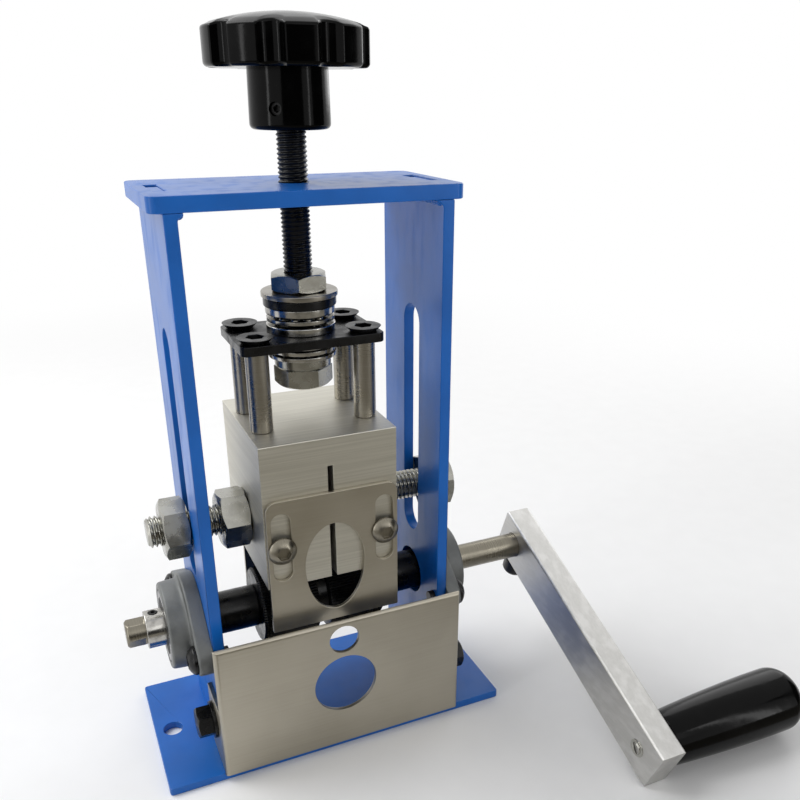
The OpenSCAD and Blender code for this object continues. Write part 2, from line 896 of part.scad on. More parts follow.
module crank_arm() {
    color(brushed_aluminium)
        on_crank()
            difference() {
                translate([0, -crank_reach, 0])
                    rotate([-90, 0, 0])
                        linear_extrude(crank_reach + crank_back)
                            translate([crank_x, 0])
                                polygon([
                                    [crank_chamfer, -crank_w / 2],
                                    [crank_t - crank_chamfer, -crank_w / 2],
                                    [crank_t, crank_chamfer - crank_w / 2],
                                    [crank_t, crank_w / 2 - crank_chamfer],
                                    [crank_t - crank_chamfer, crank_w / 2],
                                    [crank_chamfer, crank_w / 2],
                                    [0, crank_w / 2 - crank_chamfer],
                                    [0, crank_chamfer - crank_w / 2]]);
                x_rod(shaft_d, crank_x - overrun, crank_out_x + overrun);
                translate([0, -handle_radius, 0])
                    x_rod(handle_thread_d, crank_x - overrun, crank_out_x + overrun);
                translate([crank_x + crank_t / 2, 0, -crank_w])
                    cylinder(d = clamp_screw_d, h = crank_w);
            }
}

module clamp_screw() {
    color(black_steel)
        on_crank()
            translate([crank_x + crank_t / 2, 0, 0])
                difference() {
                    union() {
                        translate([0, 0, -crank_w / 2])
                            cylinder(d = clamp_screw_d, h = crank_w / 2 - shaft_r);
                        translate([0, 0, -crank_w / 2 - clamp_head_h])
                            cylinder(d = clamp_head_d, h = clamp_head_h);
                    }
                    translate([0, 0, -crank_w / 2 - clamp_head_h - overrun])
                        z_hex(
                            clamp_head_d * socket_share * cos(hex_half),
                            overrun + clamp_head_h * socket_depth_share);
                }
}

module handle_bolt() {
    color(zinc_steel)
        on_crank()
            translate([0, -handle_radius, 0])
                difference() {
                    union() {
                        x_rod(handle_thread_d, crank_x, crank_out_x);
                        x_rod(handle_bolt_d, crank_out_x, handle_head_x);
                        x_rod(handle_bolt_head_d, handle_head_x, handle_head_x + handle_bolt_head_h);
                    }
                    x_hex(handle_bolt_head_d * socket_share,
                        handle_head_x + handle_bolt_head_h * (1 - socket_depth_share),
                        handle_out_x);
                }
}

// Outline of the handle: length along Y, radius along X
module handle_outline() {
    end_mid_r = handle_d_far / 2 - handle_end_r;
    polygon(concat(
        [[0, 0], [handle_d_near / 2 - crank_chamfer, 0], [handle_d_near / 2, crank_chamfer]],
        [for (i = [0 : arc_steps])
            let (a = 90 * i / arc_steps)
                [end_mid_r + handle_end_r * cos(a), handle_len - handle_end_r + handle_end_r * sin(a)]],
        [[0, handle_len]]));
}

module handle_grip() {
    color(black_plastic)
        on_crank()
            translate([0, -handle_radius, 0])
                difference() {
                    translate([handle_x, 0, 0])
                        rotate([0, 90, 0])
                            rotate_extrude()
                                handle_outline();
                    x_rod(handle_bolt_d + 2 * fine_gap, handle_x - overrun, handle_head_x);
                    x_rod(
                        handle_bolt_head_d + 2 * handle_shoulder_gap,
                        handle_head_x - body_gap,
                        handle_out_x + overrun);
                }
}

module blade_block() {
    color(brushed_aluminium)
        difference() {
            translate([-block_w / 2, block_front_y, block_z])
                cube([block_w, block_d, block_h]);
            translate([-blade_slot_w / 2, block_front_y - overrun, block_z - overrun])
                cube([blade_slot_w, block_d + 2 * overrun, blade_slot_h + overrun]);
            translate([0, 0, blade_z])
                x_rod(cross_bolt_d + 2 * touch_gap, -block_w / 2 - overrun, block_w / 2 + overrun);
            for (side = [-1, 1]) {
                translate([side * guide_screw_spacing / 2, block_front_y - overrun, guide_screw_z])
                    rotate([-90, 0, 0])
                        cylinder(d = guide_screw_d, h = guide_screw_depth + overrun);
                translate([side * rear_screw_spacing / 2, block_d / 2 + overrun, rear_screw_z])
                    rotate([90, 0, 0])
                        cylinder(d = rear_screw_d, h = guide_screw_depth + overrun);
            }
            at_posts()
                translate([0, 0, block_top_z - post_screw_depth])
                    cylinder(d = post_screw_d, h = post_screw_depth + overrun);
        }
}

module blade_disc() {
    edge_r = blade_r - blade_bevel;
    color(bearing_steel)
        translate([0, 0, blade_z])
            rotate([0, 90, 0])
                rotate_extrude()
                    polygon([
                        [cross_bolt_d / 2 + fine_gap, -blade_t / 2],
                        [edge_r, -blade_t / 2],
                        [blade_r, 0],
                        [edge_r, blade_t / 2],
                        [cross_bolt_d / 2 + fine_gap, blade_t / 2]]);
}

module cross_bolt() {
    color(zinc_steel)
        translate([0, 0, blade_z]) {
            x_rod(cross_bolt_d, -bolt_left_x, outer_nut_x);
            x_hex(cross_nut_af, outer_nut_x, outer_nut_x + cross_head_t, cross_head_angle);
        }
}

// A nut on the cross bolt, at the left
module cross_nut(x0, t, turn) {
    color(zinc_steel)
        translate([0, 0, blade_z])
            difference() {
                x_hex(cross_nut_af, x0, x0 + t, turn);
                x_rod(cross_bolt_d + 2 * touch_gap, x0 - overrun, x0 + t + overrun);
            }
}

module inner_nut() {
    cross_nut(-block_w / 2 - inner_nut_t, inner_nut_t, inner_nut_angle);
}

module outer_nut() {
    cross_nut(-outer_nut_x - outer_nut_t, outer_nut_t, outer_nut_angle);
}

module guide_plate() {
    color(stainless)
        on_front(guide_front_y, guide_t)
            difference() {
                union() {
                    translate([0, guide_z + guide_h / 2])
                        round_rect(guide_w, guide_h, guide_corner_r);
                    translate([-guide_w / 2, guide_z])
                        square([guide_w, guide_h / 2]);
                }
                for (side = [-1, 1])
                    translate([side * guide_screw_spacing / 2, guide_z + guide_slot_up])
                        slot_outline(guide_slot_w, 0, guide_slot_h);
                translate([0, opening_z])
                    opening_outline();
            }
}

module guide_screws() {
    head_y = guide_front_y - slide_gap;
    color(bright_steel)
        for (side = [-1, 1])
            translate([side * guide_screw_spacing / 2, 0, guide_screw_z]) {
                translate([0, head_y, 0])
                    rotate([90, 0, 0])
                        button_head(guide_head_d, guide_head_h, low_cheek_share);
                translate([0, head_y, 0])
                    rotate([-90, 0, 0])
                        cylinder(d = guide_screw_d, h = block_front_y + guide_screw_depth - head_y);
            }
}

module rear_guide_plate() {
    color(stainless)
        on_front(block_d / 2, guide_t)
            difference() {
                translate([0, rear_guide_z + rear_guide_h / 2])
                    round_rect(rear_guide_w, rear_guide_h, guide_corner_r);
                for (side = [-1, 1])
                    translate([side * rear_screw_spacing / 2, rear_screw_z])
                        circle(d = rear_screw_d);
                translate([0, opening_z])
                    opening_outline();
            }
}

module rear_guide_screws() {
    head_y = block_d / 2 + guide_t;
    color(bright_steel)
        for (side = [-1, 1])
            translate([side * rear_screw_spacing / 2, head_y, rear_screw_z]) {
                rotate([-90, 0, 0])
                    button_head(rear_head_d, rear_head_h, low_cheek_share);
                rotate([90, 0, 0])
                    cylinder(d = rear_screw_d, h = guide_t + guide_screw_depth);
            }
}

// Children at each of the four posts
module at_posts() {
    for (x = [-1, 1], y = [-1, 1])
        translate([x * post_spacing_x / 2, y * post_spacing_y / 2, 0])
            children();
}

module posts() {
    color(bright_steel)
        at_posts()
            translate([0, 0, block_top_z])
                z_ring(post_d, post_screw_d + 2 * fine_gap, post_h);
}

// A countersunk head's cone; room widens it
module post_head_cone(room) {
    low_z = retainer_top_z + post_head_proud - post_head_cone_h;
    translate([0, 0, low_z])
        cylinder(d1 = post_screw_d + 2 * room, d2 = post_head_d + 2 * room, h = post_head_cone_h);
}

module retainer_plate() {
    color(black_steel)
        difference() {
            translate([0, 0, retainer_z])
                linear_extrude(retainer_t)
                    difference() {
                        round_rect(retainer_w, retainer_d, retainer_corner_r);
                        circle(r = screw_r + hole_room);
                        at_posts()
                            circle(d = post_screw_d + 2 * fine_gap);
                    }
            at_posts()
                post_head_cone(fine_gap);
        }
}

module countersunk_screws() {
    socket_d = post_head_d * socket_share;
    color(black_steel)
        at_posts()
            difference() {
                union() {
                    post_head_cone(0);
                    translate([0, 0, block_top_z - post_screw_depth])
                        cylinder(d = post_screw_d, h = post_screw_depth + post_h + retainer_t);
                }
                translate([0, 0, retainer_top_z + post_head_proud - post_head_cone_h])
                    z_hex(socket_d * cos(hex_half), post_head_cone_h + overrun);
            }
}

// Thickness of each race: half of what the balls leave
function race_t(h, ball) = (h - ball) / 2 - ball_gap;

module thrust_race(z0, h, bore) {
    translate([0, 0, z0])
        z_ring(thrust_d, bore, h);
}

module thrust_races_fixed() {
    bore = screw_d + 2 * body_gap;
    low_t = race_t(thrust_low_h, thrust_low_ball_d);
    high_t = race_t(thrust_high_h, thrust_high_ball_d);
    color(bearing_steel) {
        thrust_race(retainer_z - low_t, low_t, bore);
        thrust_race(retainer_top_z, high_t, bore);
    }
}

module thrust_races_turning() {
    bore = screw_d + 2 * touch_gap;
    low_t = race_t(thrust_low_h, thrust_low_ball_d);
    high_t = race_t(thrust_high_h, thrust_high_ball_d);
    color(bearing_steel) {
        thrust_race(collar_top_z, low_t, bore);
        thrust_race(spacer_z - high_t, high_t, bore);
    }
}

// The cage of one thrust bearing whose balls lie at height mid
module thrust_cage(mid, ball) {
    translate([0, 0, mid - thrust_cage_t / 2])
        difference() {
            z_ring(thrust_d - 2 * body_gap, screw_d + 4 * body_gap, thrust_cage_t);
            for (i = [0 : thrust_ball_count - 1])
                rotate([0, 0, 360 * i / thrust_ball_count])
                    translate([thrust_pitch_r, 0, -overrun])
                        cylinder(d = ball + 2 * ball_gap, h = thrust_cage_t + 2 * overrun, $fn = 32);
        }
}

module thrust_cages() {
    color(bearing_steel) {
        thrust_cage(retainer_z - thrust_low_h / 2, thrust_low_ball_d);
        thrust_cage(retainer_top_z + thrust_high_h / 2, thrust_high_ball_d);
    }
}

module thrust_balls() {
    color(bearing_steel)
        for (i = [0 : thrust_ball_count - 1])
            rotate([0, 0, 360 * i / thrust_ball_count])
                translate([thrust_pitch_r, 0, 0]) {
                    translate([0, 0, retainer_z - thrust_low_h / 2])
                        sphere(d = thrust_low_ball_d, $fn = 32);
                    translate([0, 0, retainer_top_z + thrust_high_h / 2])
                        sphere(d = thrust_high_ball_d, $fn = 32);
                }
}

module pressure_screw() {
    color(black_steel) {
        translate([0, 0, head_z])
            z_hex(screw_head_af, screw_head_h, screw_angle + hex_half);
        translate([0, 0, head_z + screw_head_h - touch_gap])
            cylinder(d = collar_d, h = collar_h + touch_gap);
        translate([0, 0, head_z])
            cylinder(d = screw_d, h = screw_top_z - head_z);
    }
}

module spacer_ring() {
    color(black_steel)
        translate([0, 0, spacer_z])
            z_ring(spacer_d, screw_d + 2 * touch_gap, spacer_h);
}

module large_washer() {
    color(bright_steel)
        translate([0, 0, large_washer_z])
            z_ring(washer_d, screw_d + 2 * touch_gap, washer_t);
}

module lock_nut() {
    color(zinc_steel)
        translate([0, 0, lock_nut_z])
            difference() {
                z_hex(lock_nut_af, lock_nut_h, screw_angle);
                translate([0, 0, -overrun])
                    cylinder(d = screw_d + 2 * touch_gap, h = lock_nut_h + 2 * overrun);
            }
}

// Half section of the knob's lobes: a domed disc with a rounded lower edge
module knob_section() {
    rim_r = knob_d / 2;
    crown_r = (pow(rim_r, 2) + pow(dome_h, 2)) / (2 * dome_h);
    half = asin((rim_r - lobe_edge_r) / crown_r);
    polygon(concat(
        [[0, 0]],
        [for (i = [0 : arc_steps])
            let (a = -90 + 90 * i / arc_steps)
                [rim_r - lobe_edge_r + lobe_edge_r * cos(a), lobe_edge_r + lobe_edge_r * sin(a)]],
        [for (i = [0 : arc_steps])
            let (a = 90 * i / arc_steps)
                [
                    rim_r - lobe_edge_r + lobe_edge_r * cos(a),
                    lobe_h - lobe_edge_r + lobe_edge_r * sin(a)]],
        [for (i = [0 : arc_steps])
            let (a = half * (1 - i / arc_steps))
                [crown_r * sin(a), lobe_h + dome_h - crown_r + crown_r * cos(a)]]));
}

// Half section of the knob's hub, with its lower edge rounded
module hub_section() {
    low_r = hub_d_low / 2;
    polygon(concat(
        [[0, 0]],
        [for (i = [0 : arc_steps])
            let (a = -90 + 90 * i / arc_steps)
                [low_r - hub_edge_r + hub_edge_r * cos(a), hub_edge_r + hub_edge_r * sin(a)]],
        [[hub_d_high / 2, hub_h], [hub_d_high / 2, hub_h + overrun], [0, hub_h + overrun]]));
}

module star_knob() {
    scallop_at = knob_d / 2 + scallop_r - scallop_depth;
    color(black_plastic)
        rotate([0, 0, knob_angle])
            difference() {
                union() {
                    translate([0, 0, knob_rim_z])
                        difference() {
                            rotate_extrude()
                                knob_section();
                            for (i = [0 : lobe_count - 1])
                                rotate([0, 0, 360 * (i + 0.5) / lobe_count])
                                    translate([scallop_at, 0, -overrun])
                                        cylinder(r = scallop_r, h = lobe_h + dome_h + 2 * overrun);
                        }
                    translate([0, 0, knob_z])
                        rotate_extrude()
                            hub_section();
                }
                translate([0, 0, knob_z - overrun])
                    cylinder(d = insert_d, h = hub_h + overrun);
                rotate([0, 0, grub_angle - knob_angle])
                    translate([0, 0, knob_z + grub_up])
                        x_rod(grub_d, 0, knob_d);
            }
}

module knob_insert() {
    color(zinc_steel)
        difference() {
            translate([0, 0, knob_z])
                z_ring(insert_d, screw_d + 2 * touch_gap, hub_h);
            rotate([0, 0, grub_angle])
                translate([0, 0, knob_z + grub_up])
                    x_rod(grub_d, 0, insert_d);
        }
}

module knob_grub_screw() {
    color(black_steel)
        rotate([0, 0, grub_angle])
            translate([0, 0, knob_z + grub_up])
                difference() {
                    x_rod(grub_d, screw_r + touch_gap, insert_d / 2 + grub_d);
                    x_hex(grub_d * socket_share, insert_d / 2 + grub_d * socket_share, insert_d);
                }
}

base_plate();
side_plate_left();
side_plate_right();
top_plate();
front_guard();
guard_bolts();
guard_washers();
bearing_housing_left();
bearing_housing_right();
flange_screws();
bearing_outer_rings();
bearing_balls();
bearing_seals();
drive_shaft();
feed_roller();
sleeve_left();
sleeve_right();
bearing_inner_rings();
ring_set_screw();
crank_arm();
clamp_screw();
handle_bolt();
handle_grip();
blade_block();
blade_disc();
cross_bolt();
inner_nut();
outer_nut();
guide_plate();
guide_screws();
rear_guide_plate();
rear_guide_screws();
posts();
retainer_plate();
countersunk_screws();
thrust_races_fixed();
thrust_races_turning();
thrust_cages();
thrust_balls();
pressure_screw();
spacer_ring();
large_washer();
lock_nut();
star_knob();
knob_insert();
knob_grub_screw();
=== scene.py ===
import json
import math

import bmesh
import bpy
from mathutils import Matrix, Vector


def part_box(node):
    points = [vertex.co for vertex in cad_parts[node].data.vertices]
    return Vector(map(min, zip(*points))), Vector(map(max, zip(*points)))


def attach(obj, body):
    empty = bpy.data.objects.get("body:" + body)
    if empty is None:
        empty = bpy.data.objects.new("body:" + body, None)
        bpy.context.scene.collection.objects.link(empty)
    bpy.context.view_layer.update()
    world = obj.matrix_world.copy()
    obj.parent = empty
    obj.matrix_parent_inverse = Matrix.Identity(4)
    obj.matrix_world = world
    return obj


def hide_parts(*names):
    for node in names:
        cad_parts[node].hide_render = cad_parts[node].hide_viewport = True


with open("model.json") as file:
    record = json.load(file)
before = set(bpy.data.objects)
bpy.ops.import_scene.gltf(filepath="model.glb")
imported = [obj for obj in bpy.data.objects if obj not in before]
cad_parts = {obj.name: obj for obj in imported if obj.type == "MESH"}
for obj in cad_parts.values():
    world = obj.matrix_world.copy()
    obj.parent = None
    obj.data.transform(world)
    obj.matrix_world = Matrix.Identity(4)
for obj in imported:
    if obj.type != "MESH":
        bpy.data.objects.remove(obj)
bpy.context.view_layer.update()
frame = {"nodes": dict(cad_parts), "record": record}
mm = 0.001
print("frame:", len(frame["nodes"]), "nodes")


def middle(node):
    low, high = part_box(node)
    return (low + high) / 2


# The crank's line runs from the shaft's axis to the handle's, and crankOut is square to it,
# out of the bar's top
shaftZ = middle("drive_shaft").z
crankLine = middle("handle_grip") - Vector((middle("handle_grip").x, 0, shaftZ))
handleRadius = crankLine.length
crankAlong = crankLine.normalized()
crankOut = Vector((0, crankAlong.z, -crankAlong.y))


# Node graphs: a wire is a socket that can be used in sums

class Wire:
    def __init__(self, graph, socket):
        self.graph = graph
        self.socket = socket

    def __add__(self, other):
        return self.graph.maths("ADD", self, other)

    __radd__ = __add__

    def __sub__(self, other):
        return self.graph.maths("SUBTRACT", self, other)

    def __rsub__(self, other):
        return self.graph.maths("SUBTRACT", other, self)

    def __mul__(self, other):
        return self.graph.maths("MULTIPLY", self, other)

    __rmul__ = __mul__

    def __truediv__(self, other):
        return self.graph.maths("DIVIDE", self, other)

    def __rtruediv__(self, other):
        return self.graph.maths("DIVIDE", other, self)


class Graph:
    def __init__(self, tree):
        self.tree = tree

    def add(self, kind, inputs=None, output=0, **settings):
        # A new node's output as a wire, or the node itself where it has no outputs
        node = self.tree.nodes.new(kind)
        for name, value in settings.items():
            setattr(node, name, value)
        for name, value in (inputs or {}).items():
            if isinstance(value, Wire):
                self.tree.links.new(value.socket, node.inputs[name])
            else:
                node.inputs[name].default_value = value
        return Wire(self, node.outputs[output]) if node.outputs else node

    def every(self, kind, inputs=None):
        # All the outputs of a new node, by name
        node = self.add(kind, inputs).socket.node
        return {socket.name: Wire(self, socket) for socket in node.outputs}

    def axes(self, vector):
        return list(self.every("ShaderNodeSeparateXYZ", {0: vector}).values())

    def maths(self, operation, *values):
        return self.add("ShaderNodeMath", dict(enumerate(values)), operation=operation)

    def step(self, value, low, high):
        # Goes softly from 0 at low to 1 at high
        return self.add(
            "ShaderNodeMapRange", {0: value, 1: low, 2: high}, interpolation_type="SMOOTHSTEP")


def colour(code):
    # A colour written as six hex digits, as a linear one
    parts = [int(code[i:i + 2], 16) / 255 for i in (0, 2, 4)]
    return tuple(
        c / 12.92 if c < 0.04045 else ((c + 0.055) / 1.055) ** 2.4 for c in parts) + (1.0,)


# Finishes: "fixed" holds the shader's plain values; noise scales are in cells per metre, and
# depths of bumps in metres

bareMetal = {"Metallic": 1.0}


class Finish(Graph):
    def __init__(self, name, fixed):
        self.material = bpy.data.materials.new(name)
        self.material.use_nodes = True
        super().__init__(self.material.node_tree)
        self.tree.nodes.clear()
        self.shader = self.add("ShaderNodeBsdfPrincipled", fixed)
        self.result = self.add("ShaderNodeOutputMaterial")
        self.show(self.shader)
        self.place = self.add("ShaderNodeTexCoord", output="Object")

    def show(self, surface):
        self.tree.links.new(surface.socket, self.result.inputs[0])

    def feed(self, name, wire):
        self.tree.links.new(wire.socket, self.shader.socket.node.inputs[name])

    def noise(self, scale, stretch=(1, 1, 1), turn=(0, 0, 0), detail=3.0, rough=0.5):
        at = self.add(
            "ShaderNodeMapping", {"Vector": self.place, "Rotation": turn, "Scale": stretch})
        return self.add("ShaderNodeTexNoise", {
            "Vector": at, "Scale": scale, "Detail": detail, "Roughness": rough})

    def blend(self, share, first, second):
        return self.add(
            "ShaderNodeMix", {0: share, 6: first, 7: second}, 2, data_type="RGBA")

    def paint(self, look, share, lightShare):
        # Base Color goes from a look's shade to its tone, and its light tone lies over them
        body = self.blend(share, colour(look["shade"]), colour(look["tone"]))
        self.feed("Base Color", self.blend(lightShare, body, colour(look["light"])))

    def bump(self, height, depth):
        self.feed("Normal", self.add(
            "ShaderNodeBump", {"Height": height, "Strength": 1.0, "Distance": depth}))


paintLook = {
    "tone": "0762ba", "shade": "0659ab", "light": "5a93d4", "roughness": 0.34, "peel": 0.00002,
    "coat": 0.22, "rubbedCoat": 0.08,
    "fixed": {"Coat Roughness": 0.24, "Specular IOR Level": 0.3}}


def makePaint(look):
    paint = Finish("framePaint", look["fixed"])
    clouds = paint.step(paint.noise(35), 0.3, 0.7)
    dust = paint.step(paint.noise(5200, detail=1.0), 0.72, 0.8)
    paint.paint(look, clouds, dust * 0.35)
    rub = paint.step(paint.noise(160, (1, 1, 0.25)), 0.45, 0.75)
    paint.feed("Roughness", look["roughness"] + rub * 0.1)
    paint.feed("Coat Weight", look["coat"] - rub * look["rubbedCoat"])
    paint.bump(paint.noise(900, detail=2.0) + paint.noise(220, detail=1.0) * 1.5, look["peel"])
    return paint.material


sheetLook = {"tone": "b0aa9c", "shade": "a09a8c", "light": "c2bcaf", "roughness": 0.3,
             "lineDepth": 0.000006}


def makeSheet(look):
    # Cold rolled stainless: long fine lines along the sheet and soft smudges
    sheet = Finish("guardStainless", bareMetal)
    lines = sheet.noise(1400, (0.012, 1, 1), detail=4.0, rough=0.65)
    smudge = sheet.step(sheet.noise(28, detail=2.0), 0.4, 0.7)
    sheet.paint(look, lines, smudge * 0.3)
    sheet.feed("Roughness", look["roughness"] + lines * 0.1 + smudge * 0.08)
    sheet.bump(lines, look["lineDepth"])
    return sheet.material


blockLook = {"tone": "d0cdc2", "shade": "bfbcb1", "light": "dedbd1", "roughness": 0.38,
             "lineDepth": 0.00003}


def makeBlockAluminium(look):
    # Sawn and linished: lines run level round the sides and along the shaft on top
    block = Finish("blockAluminium", bareMetal)
    normal = block.add("ShaderNodeTexCoord", output="Normal")
    upward = block.step(block.maths("ABSOLUTE", block.axes(normal)[2]), 0.5, 0.8)
    sides = block.noise(1100, (0.01, 0.01, 1), detail=5.0, rough=0.7)
    top = block.noise(1100, (0.012, 1, 0.01), detail=5.0, rough=0.7)
    lines = sides * (1 - upward) + top * upward
    deep = block.step(block.noise(420, (0.02, 0.02, 1), detail=2.0), 0.6, 0.72)
    block.paint(look, block.step(lines, 0.3, 0.7), deep * 0.35)
    block.feed("Roughness", look["roughness"] + lines * 0.16)
    block.bump(lines + deep * 0.4, look["lineDepth"])
    return block.material


armLook = {"tone": "cccbc8", "shade": "b6b5b2", "light": "dddcda", "roughness": 0.34,
           "lineDepth": 0.000012}


def makeArmAluminium(look):
    # Extruded bar: drawn lines along its length, small dull patches and pits
    arm = Finish("armAluminium", bareMetal)
    along = (math.asin(crankAlong.z), 0, 0)
    lines = arm.noise(1500, (1, 0.012, 1), along, detail=4.0, rough=0.6)
    dull = arm.step(arm.noise(240, (1, 0.5, 1), along, detail=4.0), 0.42, 0.68)
    pits = arm.step(arm.noise(2600, detail=1.0), 0.7, 0.76)
    arm.paint(look, lines, dull * 0.4)
    arm.feed("Roughness", look["roughness"] + lines * 0.1 + dull * 0.08)
    arm.bump(lines - pits * 0.5, look["lineDepth"])
    return arm.material


# Turned or drawn steel has fine rings round the axis, where its stretch is 1
steelLook = {"tone": "8f8a7d", "shade": "6f6a5f", "roughness": 0.22, "stretch": (1, 0.02, 0.02)}
uprightLook = {"tone": "aba69c", "shade": "87837a", "roughness": 0.22, "stretch": (0.02, 0.02, 1)}


def makeTurned(name, look):
    steel = Finish(name, bareMetal)
    rings = steel.noise(2600, look["stretch"], detail=3.0, rough=0.6)
    smudge = steel.step(steel.noise(90), 0.4, 0.7)
    steel.feed("Base Color", steel.blend(rings, colour(look["shade"]), colour(look["tone"])))
    steel.feed("Roughness", look["roughness"] + rings * 0.1 + smudge * 0.08)
    steel.bump(rings, 0.000004)
    return steel.material


# Even surfaces with soft smudges: smudge is (scale, where it starts), and grain is
# (scale, detail, depth)
polishedLook = {"tone": "b5b3ae", "shade": "989691", "roughness": 0.17, "spread": 0.12,
                "smudge": (300, 0.4), "grain": (1800, 1.0, 0.000002), "fixed": bareMetal}
# A darker copy of the polished steel: painted shade, so the bearings' outer rings read as a dark
# cup in the boss's mouth
shadedRingLook = {**polishedLook, "tone": "4b4b4c", "shade": "3a3a3b", "roughness": 0.22}
sealLook = {"tone": "101010", "shade": "1b1b1b", "roughness": 0.6, "spread": 0.2,
            "smudge": (900, 0.45), "grain": (3000, 2.0, 0.00001), "fixed": {}}


def makeSmudged(name, look):
    even = Finish(name, look["fixed"])
    smudgeScale, smudgeStart = look["smudge"]
    grainScale, grainDetail, grainDepth = look["grain"]
    smudge = even.step(even.noise(smudgeScale, detail=4.0), smudgeStart, 0.75)
    even.feed("Base Color", even.blend(smudge, colour(look["tone"]), colour(look["shade"])))
    even.feed("Roughness", look["roughness"] + smudge * look["spread"])
    even.bump(even.noise(grainScale, detail=grainDetail), grainDepth)
    return even.material


# Cloudy surfaces with fine specks: zinc plate, oiled black oxide rubbed grey, and a painted
# casting with a sandy skin; grain and sand are (scale, detail)
zincLook = {
    "tone": "aeada6", "shade": "989790", "light": "c6c6bf", "roughness": 0.19, "spread": 0.12,
    "clouds": 130, "grain": (1500, 3.0), "depth": 0.00001, "fixed": bareMetal}
oxideLook = {
    "tone": "0e0e0f", "shade": "080809", "light": "3c3c3d", "roughness": 0.24, "spread": 0.16,
    "clouds": 150, "grain": (2200, 2.0), "depth": 0.000006,
    "fixed": {"Metallic": 0.2, "Specular IOR Level": 0.35}}
castLook = {
    "tone": "707271", "shade": "606261", "light": "888a88", "roughness": 0.42, "spread": 0.12,
    "clouds": 90, "grain": (700, 4.0), "sand": (180, 2.0), "depth": 0.00009,
    "fixed": {"Metallic": 0.35}}


def makeCloudy(name, look):
    cloudy = Finish(name, look["fixed"])
    clouds = cloudy.step(cloudy.noise(look["clouds"]), 0.35, 0.65)
    specks = cloudy.step(cloudy.noise(look["clouds"] * 40, detail=1.0), 0.66, 0.74)
    cloudy.paint(look, clouds, specks * 0.5)
    cloudy.feed("Roughness", look["roughness"] + clouds * look["spread"])
    height = cloudy.noise(look["grain"][0], detail=look["grain"][1])
    if "sand" in look:
        height = height + cloudy.noise(look["sand"][0], detail=look["sand"][1])
    cloudy.bump(height, look["depth"])
    return cloudy.material


plasticLook = {"tone": "070707", "shade": "030303", "light": "3d3d3e", "roughness": 0.12,
               "ripple": 0.00003, "fixed": {"Specular IOR Level": 0.1}}


def makePlastic(look):
    # Moulded black plastic, glossy, with a slight ripple and a little dust
    plastic = Finish("knobPlastic", look["fixed"])
    rub = plastic.step(plastic.noise(70, detail=5.0), 0.5, 0.75)
    dust = plastic.step(plastic.noise(4200, detail=1.0), 0.76, 0.82)
    plastic.paint(look, rub, dust * 0.3)
    plastic.feed("Roughness", look["roughness"] + rub * 0.1 + dust * 0.15)
    plastic.bump(plastic.noise(260, detail=2.0), look["ripple"])
    return plastic.material


finishes = {
    "frame_paint": makePaint(paintLook),
    "guard_stainless": makeSheet(sheetLook),
    "block_aluminium": makeBlockAluminium(blockLook),
    "arm_aluminium": makeArmAluminium(armLook),
    "turned_steel": makeTurned("turnedSteel", steelLook),
    "polished_steel": makeSmudged("polishedSteel", polishedLook),
    "zinc_steel": makeCloudy("zincSteel", zincLook),
    "black_oxide": makeCloudy("blackOxide", oxideLook),
    "housing_grey": makeCloudy("housingGrey", castLook),
    "seal_rubber": makeSmudged("sealRubber", sealLook),
    "knob_plastic": makePlastic(plasticLook),
}
uprightSteel = makeTurned("uprightSteel", uprightLook)
# the darker polished steel is painted shade for the bearings' outer rings
ringSteel = makeSmudged("ringSteel", shadedRingLook)
print("finishes:", len(finishes) + 2)


# Making and placing pieces: shapes are drawn in millimetres, and addPart brings them to metres

behaviour = frame["record"]["behaviour"]
nodeBody = {name: body for body, names in behaviour["bodies"].items() for name in names}
nodeSlot = {part["node"]: part["material_slot"] for part in frame["record"]["subparts"]}
sharpAngle = 32          # edges over this many degrees are sharp
slack = 0.02 * mm        # how near an edge has to be to the place that a test names


def camel(node):
    first, *rest = node.split("_")
    return first + "".join(word.capitalize() for word in rest)


def addObject(name, data):
    thing = bpy.data.objects.new(name, data)
    bpy.context.scene.collection.objects.link(thing)
    return thing


def asMesh(name, bm):
    mesh = bpy.data.meshes.new(name)
    bm.to_mesh(mesh)
    bm.free()
    return mesh


def pour(bm, mesh):
    # Adds a mesh to a shape and deletes the mesh
    bm.from_mesh(mesh)
    bpy.data.meshes.remove(mesh)


def finalMesh(thing):
    # What an object's modifiers make of it
    depsgraph = bpy.context.evaluated_depsgraph_get()
    return bpy.data.meshes.new_from_object(thing.evaluated_get(depsgraph))


def smoothPiece(name, bm, material):
    mesh = asMesh(name, bm)
    mesh.polygons.foreach_set("use_smooth", [True] * len(mesh.polygons))
    mesh.materials.clear()
    mesh.materials.append(material)
    return addObject(name, mesh)


def finishPiece(bm, node, material=None, sharp=sharpAngle, name=None, slot=None):
    # Makes the piece that stands for a node, on the node's body and in its slot
    slot = slot or nodeSlot[node]
    bmesh.ops.remove_doubles(bm, verts=bm.verts, dist=0.0005 * mm)
    bmesh.ops.recalc_face_normals(bm, faces=bm.faces)
    piece = smoothPiece(name or camel(node), bm, material or finishes[slot])
    piece.data.set_sharp_from_angle(angle=math.radians(sharp))
    even = piece.modifiers.new("evenNormals", "WEIGHTED_NORMAL")
    even.keep_sharp = True
    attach(piece, nodeBody[node])
    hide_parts(node)


def nodeMesh(node):
    # A node's shape as one closed mesh with flat faces in one piece
    bm = bmesh.new()
    bm.from_mesh(frame["nodes"][node].data)
    bmesh.ops.remove_doubles(bm, verts=bm.verts, dist=0.001 * mm)
    bmesh.ops.dissolve_limit(
        bm, angle_limit=math.radians(0.4), use_dissolve_boundaries=False,
        verts=bm.verts, edges=bm.edges)
    return bm


